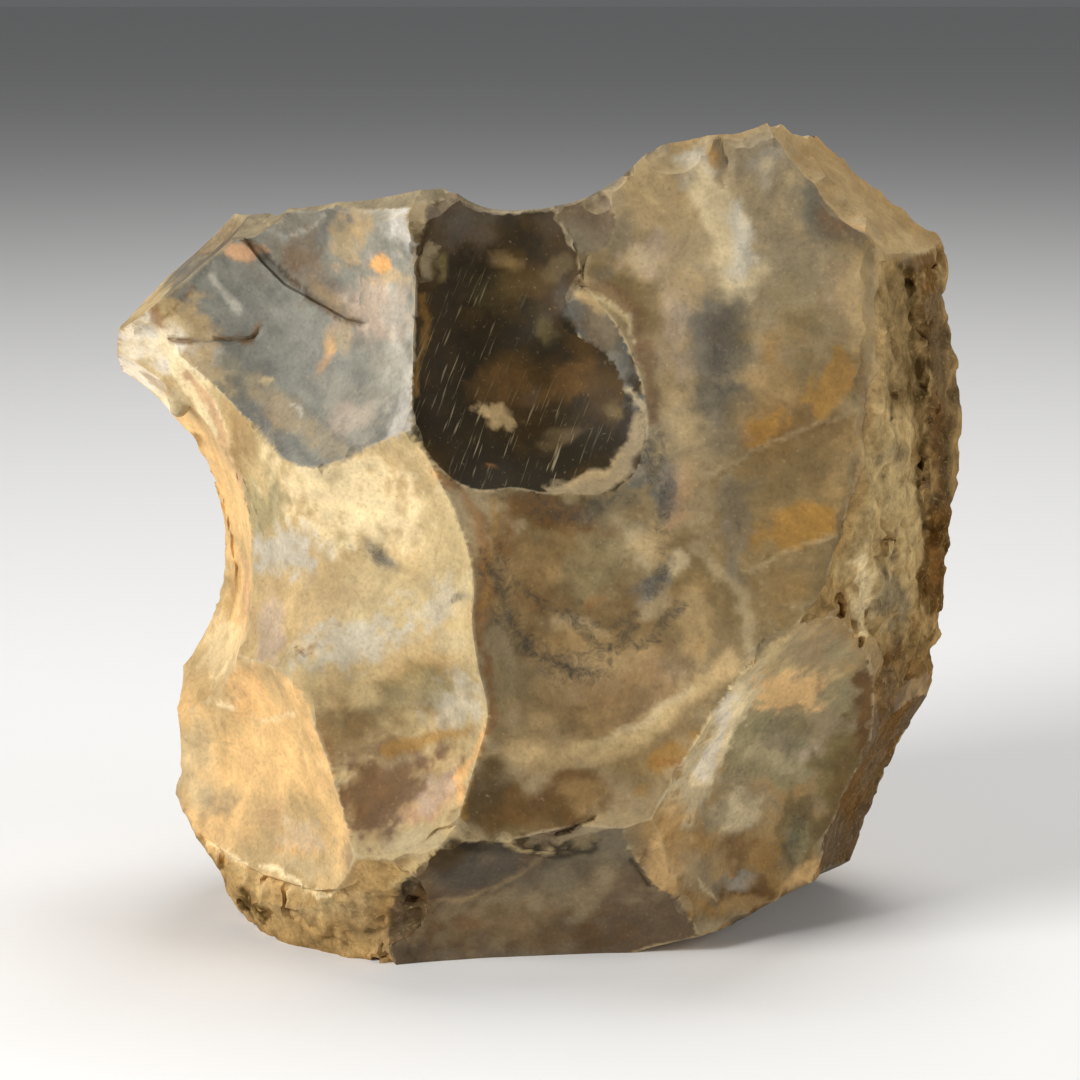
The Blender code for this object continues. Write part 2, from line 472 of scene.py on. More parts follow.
# Cracks, slots and channels in the front face, on the board.
GROOVES = (
    # the swell below the hollow, then cracks and slots
    Groove(((-2.9, -31.0), (7.8, -31.7), (16.9, -26.0), (25.8, -17.9)), 3.6, -0.75),
    Groove(((-39.9, -52.6), (-39.7, -55.4)), 0.7, 0.35),
    Groove(((-35.9, -54.0), (-35.4, -58.0)), 0.75, 0.45),
    Groove(((-32.3, -54.0), (-32.8, -57.9)), 0.7, 0.4),
    Groove(((-30.6, -56.4), (-30.2, -59.4)), 0.6, 0.35),
    Groove(((-28.4, -57.2), (-28.1, -60.4)), 0.7, 0.4),
    Groove(((-25.2, -57.0), (-24.9, -60.6)), 0.7, 0.4),
    Groove(((-23.1, -56.4), (-23.4, -60.4)), 0.6, 0.35),
    Groove(((-19.6, -57.4), (-19.4, -61.2)), 0.7, 0.4),
    Groove(((-55.7, 29.3), (-49.9, 29.2), (-41.8, 29.5), (-41.1, 30.4), (-40.6, 31.4)), 0.35, 0.6),
    Groove(((6.5, 42.1), (6.2, 39.6), (6.7, 36.7)), 0.4, 0.5),
    Groove(((26.5, 59.0), (27.6, 55.3), (26.8, 52.8), (27.3, 51.3)), 0.9, 0.6, 0.5),
    Groove(((17.3, 56.0), (18.8, 54.3)), 0.5, 0.8),
    Groove(((43.4, -7.6), (44.0, -9.5), (43.6, -11.4)), 0.6, 1.4),
    Groove(((47.1, -14.1), (47.1, -15.7)), 0.4, 0.9),
    Groove(((1.9, -43.4), (5.1, -41.9), (8.8, -40.8)), 0.45, 0.9),
    Groove(((13.2, -46.5), (16.3, -51.0)), 0.45, 0.6),
    Groove(((-36.1, -15.4), (-34.5, -16.7), (-32.9, -16.1)), 0.35, 0.35),
    Groove(((-43.6, -49.3), (-44.0, -52.1), (-42.5, -54.9)), 0.8, 0.7, 0.4),
    Groove(
        (
            (51.3, 43.0), (53.2, 38.9), (54.6, 32.3), (55.3, 26.1), (56.0, 20.5),
            (55.7, 13.2), (55.9, 5.9), (56.3, -2.9), (56.3, -10.6),
        ),
        1.6, 1.6, 0.7,
    ),
)

# Steps where one thin flake ended inside an older scar, and the crumbly ledge above the foot.
STEPS = (
    StepLine(
        (
            (-44.0, 44.9), (-40.8, 40.8), (-37.4, 37.4), (-34.6, 35.9),
            (-30.1, 33.3), (-27.0, 32.1), (-22.7, 32.3),
        ),
        0.9, 14.0,
    ),
    StepLine(((50.0, 19.8), (44.9, 18.9), (41.1, 17.0), (35.1, 14.8), (30.5, 12.9), (25.8, 8.8)), 0.22, 9.0),
    StepLine(((45.5, 0.9), (41.7, -0.4), (38.9, -1.0), (35.1, -1.8), (30.5, -3.7)), 0.22, 8.0),
    StepLine(
        (
            (8.8, -45.9), (1.2, -45.6), (-3.2, -45.0), (-8.7, -43.9),
            (-11.7, -41.7), (-15.0, -42.5), (-19.8, -46.1),
        ),
        0.7, 4.5,
    ),
)


# Small flakes struck off the edges, as seen from the front.
BITES = (
    Bite((-37.4, 48.8), -10.0, 60.0, 16.0, 0.8),
    Bite((-42.5, 47.2), -25.0, 55.0, 11.0, 0.7),
    Bite((-31.0, 49.4), 0.0, 50.0, 20.0, 0.6),
    Bite((-47.5, 44.5), -45.0, 45.0, 13.0, 0.7),
    Bite((-54.0, 28.0), -45.0, -10.0, 7.0, 0.4),
    Bite((-16.3, 39.8), 20.0, 0.0, 2.6, 0.8),
    Bite((-15.6, 42.0), 25.0, 15.0, 2.2, 0.5),
    Bite((-14.0, 49.0), 0.0, 45.0, 12.0, 0.5),
    Bite((20.5, 54.8), -15.0, 45.0, 6.0, 0.5),
    Bite((23.0, 57.0), -5.0, 45.0, 4.0, 0.4),
    Bite((29.0, 58.3), 5.0, 50.0, 6.0, 0.5),
    Bite((32.0, 59.3), 5.0, 45.0, 4.0, 0.4),
    Bite((35.0, 59.8), 15.0, 50.0, 12.0, 0.5),
    Bite((40.5, 55.0), 30.0, 45.0, 9.0, 0.5),
    Bite((45.5, 49.5), 32.0, 40.0, 11.0, 0.5),
    Bite((50.5, 41.0), 28.0, 5.0, 12.0, 0.7),
    Bite((48.8, 41.0), 30.0, 0.0, 8.0, 1.1),
    Bite((49.0, 35.5), 30.0, 5.0, 9.0, 1.2),
    Bite((48.8, 29.5), 32.0, 0.0, 7.0, 1.0),
    Bite((48.6, 24.5), 30.0, -5.0, 9.0, 1.2),
    Bite((48.0, 18.5), 30.0, 5.0, 8.0, 1.1),
    Bite((47.4, 12.0), 30.0, 0.0, 9.0, 1.1),
    Bite((46.6, 4.5), 30.0, 0.0, 8.0, 1.0),
    Bite((45.0, -3.0), 30.0, 5.0, 7.0, 0.9),
    Bite((52.8, 38.0), 45.0, 0.0, 7.0, 1.0),
    Bite((53.5, 22.0), 50.0, 5.0, 6.0, 1.1),
    Bite((52.5, 8.0), 45.0, 0.0, 7.0, 1.0),
    Bite((47.5, -40.0), 50.0, -15.0, 5.0, 0.7),
    Bite((49.5, -36.0), 55.0, -10.0, 4.5, 0.8),
    Bite((52.0, -31.0), 60.0, -5.0, 5.0, 0.7),
    Bite((54.5, -23.0), 60.0, 0.0, 5.0, 0.7),
    Bite((30.0, -55.5), 20.0, -50.0, 6.0, 0.8),
    Bite((34.0, -53.5), 25.0, -45.0, 5.0, 0.6),
    Bite((-12.0, -42.0), -5.0, -15.0, 5.0, 0.5),
    Bite((-6.0, -44.5), 5.0, -10.0, 4.5, 0.5),
    Bite((0.5, -45.6), 5.0, -10.0, 4.0, 0.5),
    Bite((5.0, -45.0), 10.0, -20.0, 4.5, 0.5),
    Bite((-19.0, -47.0), -10.0, -25.0, 5.0, 0.6),
    Bite((-22.0, -48.5), -20.0, -20.0, 4.5, 0.5),
    Bite((-43.5, -49.8), -25.0, -20.0, 4.5, 0.8),
)

KNOBS = (Knob((-52.7, 1.6, 76.9), 1.25),)


FAN = Fan(
    (
        (-26.0, -49.0, 8.5), (-12.0, -45.5, 5.0), (-4.0, -44.5, 3.0), (5.0, -46.5, 2.6), (18.0, -51.0, 2.4),
    )
)


@dataclass
class StoneShape:
    """The whole surface of the stone as one distance, less than 0 inside it."""

    nodule: Nodule = Nodule()
    wander: float = 0.30
    rind_step: float = 0.7
    rolled_edge: float = 0.35
    chip_count: int = 900
    chip_seed: int = 11
    chip_cell: float = 4.0
    chip_rough: float = 0.30

    def __post_init__(self) -> None:
        """Place the small flakes and the edge chips on the finished scars."""
        self.chip_centres = np.zeros((0, 3))
        self.chip_sizes = np.zeros(0)
        bites = [self.seat(bite) for bite in BITES]
        centres, sizes = self.edge_chips()
        bite_centres = np.array([centre for centre, _ in bites]).reshape(-1, 3)
        self.chip_centres = np.concatenate([bite_centres, centres])
        self.chip_sizes = np.concatenate([np.array([radius for _, radius in bites]), sizes])
        self.chip_homes = self.sort_chips()

    def seat(self, bite: Bite) -> tuple[np.ndarray, float]:
        """Centre and radius of a bite, moved along the line of sight until it meets the stone."""
        way = BOARD.ray(bite.at)
        depths = np.arange(380.0, 470.0, 0.25)
        line = np.array(BOARD.eye) + depths[:, None] * way
        outside = self.layers(line.astype(np.float32))[0]
        inside = outside < 0.0
        nearest = int(np.argmax(inside)) if inside.any() else int(np.argmin(outside))
        found = line[nearest]
        return found + facing(bite.azimuth, bite.elevation) * (bite.radius - bite.depth), bite.radius

    def edge_chips(self) -> tuple[np.ndarray, np.ndarray]:
        """Seeded crushing along the arrises, as centres and radii of round bites."""
        draw = np.random.default_rng(self.chip_seed)
        points = draw.uniform((-64.0, -36.0, 1.0), (64.0, 46.0, 121.0), (2_400_000, 3)).astype(np.float32)
        first, lead, _, _ = self.layers(points)
        on_edge = np.flatnonzero((np.abs(first) < 0.35) & (lead < 0.35))
        points = points[on_edge]
        reach = 1.2
        outward = np.stack(
            [self.layers(points + reach * np.eye(3, dtype=np.float32)[i])[0] for i in range(3)], axis=1
        ) - np.stack(
            [self.layers(points - reach * np.eye(3, dtype=np.float32)[i])[0] for i in range(3)], axis=1
        )
        sharp = np.linalg.norm(outward, axis=1) / (2.0 * reach)
        outward /= np.maximum(np.linalg.norm(outward, axis=1, keepdims=True), 1e-6)
        # Crushed most along the striking edge and the lower right edge, least down the middle.
        want = 0.25 + 0.75 * ease(points[:, 2], 88.0, 104.0)
        want += 0.7 * ease(points[:, 0], 30.0, 50.0) * (1.0 - ease(points[:, 2], 60.0, 75.0))
        middle = (np.abs(points[:, 0] + 3.0) < 19.0) & (points[:, 2] > 3.0) & (points[:, 2] < 96.0)
        want = np.where(middle & (points[:, 1] < 5.0), 0.03, want)
        on_tip = (points[:, 0] < -42.0) & (points[:, 2] > 80.0)
        want = np.where(on_tip, 0.0, want)
        want = np.where(sharp < 0.93, want, 0.0)
        picked = np.flatnonzero(draw.uniform(0.0, 1.0, len(points)) < want)
        picked = draw.permutation(picked)[: self.chip_count]
        sizes = 1.0 + 6.0 * draw.uniform(0.0, 1.0, len(picked)) ** 2.2
        depths = 0.12 + 0.42 * draw.uniform(0.0, 1.0, len(picked)) ** 2.0
        tilt = draw.normal(0.0, 0.2, (len(picked), 3))
        way = outward[picked] + tilt
        way /= np.linalg.norm(way, axis=1, keepdims=True)
        return points[picked] + way * (sizes - depths)[:, None], sizes

    def sort_chips(self) -> dict[tuple[int, int, int], list[int]]:
        """Which chips can reach into each block of space."""
        homes: dict[tuple[int, int, int], list[int]] = {}
        for number, (centre, size) in enumerate(zip(self.chip_centres, self.chip_sizes)):
            low = np.floor((centre - size - 1.0) / self.chip_cell).astype(int)
            high = np.floor((centre + size + 1.0) / self.chip_cell).astype(int)
            for block in np.ndindex(*(high - low + 1)):
                homes.setdefault(tuple(int(v) for v in low + block), []).append(number)
        return homes

    def chip_away(self, points: np.ndarray, stone: np.ndarray) -> None:
        """Cut the chips out of the stone's distances, in place."""
        blocks = np.floor(points / self.chip_cell).astype(np.int64) + 64
        keys = (blocks[:, 0] * 256 + blocks[:, 1]) * 256 + blocks[:, 2]
        order = np.argsort(keys, kind="stable")
        ranked = keys[order]
        homes = list(self.chip_homes)
        wanted = np.array(homes, np.int64).reshape(-1, 3) + 64
        wanted = (wanted[:, 0] * 256 + wanted[:, 1]) * 256 + wanted[:, 2]
        starts = np.searchsorted(ranked, wanted, "left")
        ends = np.searchsorted(ranked, wanted, "right")
        rough = np.stack([Noise(seed, 2.4, 2).at(points) for seed in (261, 271, 281)], axis=1)
        for home, start, end in zip(homes, starts, ends):
            if start == end:
                continue
            rows = order[start:end]
            here = points[rows] + self.chip_rough * rough[rows]
            value = stone[rows]
            for number in self.chip_homes[home]:
                gap = self.chip_sizes[number] - np.linalg.norm(here - self.chip_centres[number], axis=1)
                value = np.maximum(value, gap)
            stone[rows] = value

    def layers(self, points: np.ndarray) -> tuple[np.ndarray, np.ndarray, np.ndarray, np.ndarray]:
        """The stone before its small relief.

        Args:
            points: an (n, 3) array of positions in millimetres.

        Returns:
            The distance outside the stone, how much closer the nearest scar or skin is than the
            next one (0 on an arris), how far the skin stands proud of the scars, and the number
            of the nearest scar group (-1 for the skin).
        """
        drift_a = Noise(101, 13.0, 2).at(points) * self.wander
        drift_b = Noise(111, 13.0, 2).at(points) * self.wander
        skin = self.nodule.outside(points)
        first = skin.copy()
        second = np.full(len(points), -1e3, np.float32)
        scars = np.full(len(points), -1e3, np.float32)
        owner = np.full(len(points), -1)
        for turn, group in enumerate(SCARS.values()):
            value = drift_a * math.cos(2.4 * turn) + drift_b * math.sin(2.4 * turn) - group.clearance(points)
            second = np.maximum(second, np.minimum(first, value))
            owner[value > first] = turn
            first = np.maximum(first, value)
            scars = np.maximum(scars, value)
        return first, first - second, skin - scars, owner

    def rind_lead(self, points: np.ndarray, spots: np.ndarray, skin_lead: np.ndarray) -> np.ndarray:
        """How far inside the rind's ragged edge each point is, in millimetres.

        Args:
            points: positions in millimetres.
            spots: the same points on the board.
            skin_lead: how far the skin stands proud of the scars at each point.

        Returns:
            One number for each point, more than 0 where there is rind.
        """
        ragged = 1.7 * Noise(291, 5.5, 3).at(points) - self.rind_step
        front = 1.0 - ease(points[:, 1], 6.0, 14.0)
        spread = 4.5 * RIND_SPREAD.cover(spots) * front
        # The left tip was flaked all round, so no rind is left on it.
        bald = 8.0 * ease(-points[:, 0], 40.0, 46.0) * ease(points[:, 2], 76.0, 84.0)
        return skin_lead + ragged * ease(skin_lead, -1.0, 0.5) + spread - bald

    def relief(self, points: np.ndarray, skin_lead: np.ndarray) -> np.ndarray:
        """Depth cut by skin texture, cracks and steps, at each point."""
        front = 1.0 - ease(points[:, 1], 6.0, 14.0)
        spots = BOARD.place(points)
        rough = Noise(201, 2.6, 2).at(points)
        skin_gap = skin_lead
        skin_lead = self.rind_lead(points, spots, skin_lead)
        spots = spots + 0.35 * Noise(221, 3.0, 2).at(points)[:, None] * np.array([1.0, -1.0], np.float32)
        cut = np.zeros(len(points), np.float32)
        for mark in GROOVES + STEPS:
            near = near_path(spots, mark.path, mark.margin())
            cut[near] += mark.cut(spots[near], rough[near]) * front[near]
        bare = ease(skin_lead, 0.0, 0.7)
        fibres = Noise(231, 1.3, 1, (1.0, 1.0, 3.0)).at(points)
        lumps = Noise(241, 4.6, 3).at(points)
        pits = ease(rough + 0.5 * lumps, 0.15, 1.25)
        craggy = ease(points[:, 0], 40.0, 48.0)
        cut += bare * np.maximum(0.65 + 0.16 * fibres + (0.75 + 0.35 * craggy) * lumps + 1.1 * pits, 0.0)
        streaks = FAN.height(spots)
        cut += (
            0.26 * streaks * front * ease(-points[:, 0], 36.0, 44.0)
            * (1.0 - ease(points[:, 2], 64.0, 72.0))
        )
        cut += 0.05 * Noise(251, 4.0, 2).at(points)
        cut += self.rolled_edge * np.exp(-((skin_gap / 1.1) ** 2)) * ease(points[:, 0], 30.0, 38.0)
        return cut

    def value(self, points: np.ndarray) -> np.ndarray:
        """Distance outside the finished stone, at each point."""
        points = points.astype(np.float32)
        stone, _, skin_lead, _ = self.layers(points)
        stone = stone + self.relief(points, skin_lead)
        for knob in KNOBS:
            lump = np.linalg.norm(points - np.array(knob.centre, np.float32), axis=1) - knob.radius
            stone = soft_min(stone, lump, 1.6)
        self.chip_away(points, stone)
        return np.maximum(stone, -points[:, 2])


@dataclass
class StoneMesher:
    """Meshes the stone's surface on a grid and keeps its arrises sharp (dual contouring)."""

    shape: StoneShape
    step: float = 0.6
    block: int = 4
    low: tuple[float, float, float] = (-64.5, -36.0, -1.5)
    high: tuple[float, float, float] = (64.5, 47.5, 121.5)
    pull: float = 0.01

    def sample(self) -> np.ndarray:
        """Distances on the grid; far from the surface only their sign is right."""
        span = self.step * self.block
        blocks = np.ceil((np.array(self.high) - np.array(self.low)) / span).astype(int)
        middles = np.indices(blocks).reshape(3, -1).T * span + np.array(self.low) + 0.5 * (span - self.step)
        middles = middles.astype(np.float32)
        coarse = self.shape.layers(middles)[0]
        self.shape.chip_away(middles, coarse)
        coarse = np.maximum(coarse, -middles[:, 2]).reshape(blocks)
        grid = np.where(coarse < 0.0, -9.0, 9.0).astype(np.float32)
        for axis in range(3):
            grid = np.repeat(grid, self.block, axis=axis)
        near = np.argwhere(np.abs(coarse) < 1.0 * span + 1.4)
        inner = np.indices((self.block,) * 3).reshape(3, -1).T
        cells = (near[:, None, :] * self.block + inner).reshape(-1, 3)
        values = self.shape.value(cells * self.step + np.array(self.low))
        grid[cells[:, 0], cells[:, 1], cells[:, 2]] = values
        log.info("grid %s, %d points near the surface", grid.shape, len(cells))
        return grid

    def crossings(self, grid: np.ndarray) -> tuple[np.ndarray, np.ndarray, np.ndarray, np.ndarray]:
        """Where the surface crosses the grid's edges.

        Args:
            grid: distances on the grid.

        Returns:
            The grid index of each crossed edge, its axis, whether it starts in the stone, and the
            crossing point.
        """
        starts, axes, inside, near, far = [], [], [], [], []
        for axis in range(3):
            a = np.take(grid, np.arange(grid.shape[axis] - 1), axis=axis)
            b = np.take(grid, np.arange(1, grid.shape[axis]), axis=axis)
            found = np.argwhere((a < 0.0) != (b < 0.0))
            index = tuple(found.T)
            starts.append(found)
            axes.append(np.full(len(found), axis))
            inside.append(a[index] < 0.0)
            near.append(a[index])
            far.append(b[index])
        starts, axes, inside = np.concatenate(starts), np.concatenate(axes), np.concatenate(inside)
        near, far = np.concatenate(near), np.concatenate(far)
        base = starts * self.step + np.array(self.low)
        way = np.eye(3)[axes] * self.step
        t_near, t_far = np.zeros(len(starts)), np.ones(len(starts))
        for _ in range(3):
            t = t_near + (t_far - t_near) * near / (near - far)
            value = self.shape.value(base + way * t[:, None])
            first_half = (value < 0.0) != inside
            t_far = np.where(first_half, t, t_far)
            far = np.where(first_half, value, far)
            t_near = np.where(first_half, t_near, t)
            near = np.where(first_half, near, value)
            near = np.where(near == 0.0, np.where(inside, -1e-6, 1e-6), near)
        t = t_near + (t_far - t_near) * near / (near - far)
        return starts, axes, inside, base + way * t[:, None]

    def slopes(self, points: np.ndarray) -> np.ndarray:
        """Unit outward direction of the surface at points on it."""
        reach = 0.03
        here = self.shape.value(points)
        sides = [self.shape.value(points + reach * np.eye(3)[axis]) - here for axis in range(3)]
        slope = np.stack(sides, axis=1)
        return slope / np.maximum(np.linalg.norm(slope, axis=1, keepdims=True), 1e-9)

    def corners(
        self, owner: np.ndarray, points: np.ndarray, slopes: np.ndarray, count: int
    ) -> np.ndarray:
        """Mesh point of each grid cell: where its surface pieces would meet.

        Args:
            owner: the cell that each crossing belongs to.
            points: the crossing points.
            slopes: the surface's direction at each crossing.
            count: how many cells there are.

        Returns:
            A (count, 3) array of points.
        """
        hits = np.bincount(owner, minlength=count).astype(float)
        middle = np.stack([np.bincount(owner, points[:, i], count) for i in range(3)], axis=1) / hits[:, None]
        offset = np.einsum("ij,ij->i", slopes, points - middle[owner])
        matrix = np.empty((count, 3, 3))
        for i in range(3):
            for j in range(3):
                matrix[:, i, j] = np.bincount(owner, slopes[:, i] * slopes[:, j], count)
        matrix += np.eye(3) * (self.pull * hits)[:, None, None]
        target = np.stack([np.bincount(owner, slopes[:, i] * offset, count) for i in range(3)], axis=1)
        move = np.linalg.solve(matrix, target[:, :, None])[:, :, 0]
        return middle + np.clip(move, -self.step, self.step)

    def build(self) -> tuple[np.ndarray, np.ndarray]:
        """Mesh of the stone.

        Returns:
            The points in millimetres and the triangles, three point numbers each.
        """
        grid = self.sample()
        starts, axes, inside, points = self.crossings(grid)
        slopes = self.slopes(points)
        size = np.array(grid.shape)
        # The four cells around an edge, in turning order around its axis.
        ring = ((-1, -1), (0, -1), (0, 0), (-1, 0))
        around = np.empty((len(starts), 4), np.int64)
        for place, (u, v) in enumerate(ring):
            cell = starts.copy()
            rows = np.arange(len(starts))
            cell[rows, (axes + 1) % 3] += u
            cell[rows, (axes + 2) % 3] += v
            around[:, place] = (cell[:, 0] * size[1] + cell[:, 1]) * size[2] + cell[:, 2]
        cells, owner = np.unique(around, return_inverse=True)
        owner = owner.reshape(around.shape)
        corners = self.corners(
            owner.ravel(), np.repeat(points, 4, axis=0), np.repeat(slopes, 4, axis=0), len(cells)
        )
        quads = np.where(inside[:, None], owner, owner[:, ::-1])
        return corners, self.split(corners, quads)

    def split(self, corners: np.ndarray, quads: np.ndarray) -> np.ndarray:
        """Cut each quad along the diagonal that lies closer to the surface."""
        one = np.abs(self.shape.value(0.5 * (corners[quads[:, 0]] + corners[quads[:, 2]])))
        two = np.abs(self.shape.value(0.5 * (corners[quads[:, 1]] + corners[quads[:, 3]])))
        turned = np.where((two < one)[:, None], np.roll(quads, -1, axis=1), quads)
        return np.concatenate([turned[:, [0, 1, 2]], turned[:, [0, 2, 3]]])


# ---------------------------------------------------------------- the flint finish

class Tone(Enum):
    """Colours of the stone, as sRGB hex."""

    FROST = "#E3DACB"
    ICE = "#BAB3A2"
    MILK = "#9E9482"
    BLUE_GREY = "#828073"
    SHADOW_BLUE = "#66635A"
    SLATE = "#4F4E45"
    VEIN = "#32312C"
    GREY = "#786C55"
    DUSK = "#67543E"
    LILAC = "#B59F89"
    CREAM = "#EAD3A4"
    BONE = "#C4B088"
    BUTTER = "#C7AF7D"
    STRAW = "#B8A173"
    DRAB = "#77633F"
    SAND = "#B69A6B"
    PUTTY = "#988563"
    MOSS = "#938862"
    OLIVE = "#7D6C40"
    TAN = "#A48555"
    HONEY = "#DDB377"
    APRICOT = "#DDA563"
    PINK = "#BF956D"
    OCHRE = "#99702F"
    RUST = "#875A2D"
    PLUM = "#74583C"
    BROWN = "#6A4B24"
    UMBER = "#48330F"
    TREACLE = "#231A04"


@dataclass(frozen=True)
class Patch:
    """A stain on the board: an ellipse with half its width and height, and soft, wandering edges."""

    tone: Tone
    at: Spot
    size: Spot
    turn: float = 0.0
    strength: float = 0.8
    soft: float = 0.6

    def cover(self, spots: np.ndarray, ripple: np.ndarray | float = 0.0) -> np.ndarray:
        """How much of the stain lies on each spot, from 0 to its strength; ripple frays its edge."""
        turn = math.radians(self.turn)
        away = spots - np.array(self.at, np.float32)
        across = away[:, 0] * math.cos(turn) + away[:, 1] * math.sin(turn)
        up = away[:, 1] * math.cos(turn) - away[:, 0] * math.sin(turn)
        reach = np.hypot(across / self.size[0], up / self.size[1])
        return self.strength * (1.0 - ease(reach + ripple, 1.0 - self.soft, 1.0 + 0.5 * self.soft))


@dataclass(frozen=True)
class Streak:
    """A band of colour along a path on the board; width is half of its width."""

    tone: Tone
    path: tuple[Spot, ...]
    width: float
    strength: float = 0.8
    soft: float = 0.6

    def cover(self, spots: np.ndarray, ripple: np.ndarray | float = 0.0) -> np.ndarray:
        """How much of the band lies on each spot, from 0 to its strength; ripple frays its edge."""
        gap, _, _ = path_gap(spots, self.path)
        reach = gap / self.width + ripple
        return self.strength * (1.0 - ease(reach, 1.0 - self.soft, 1.0 + 0.5 * self.soft))


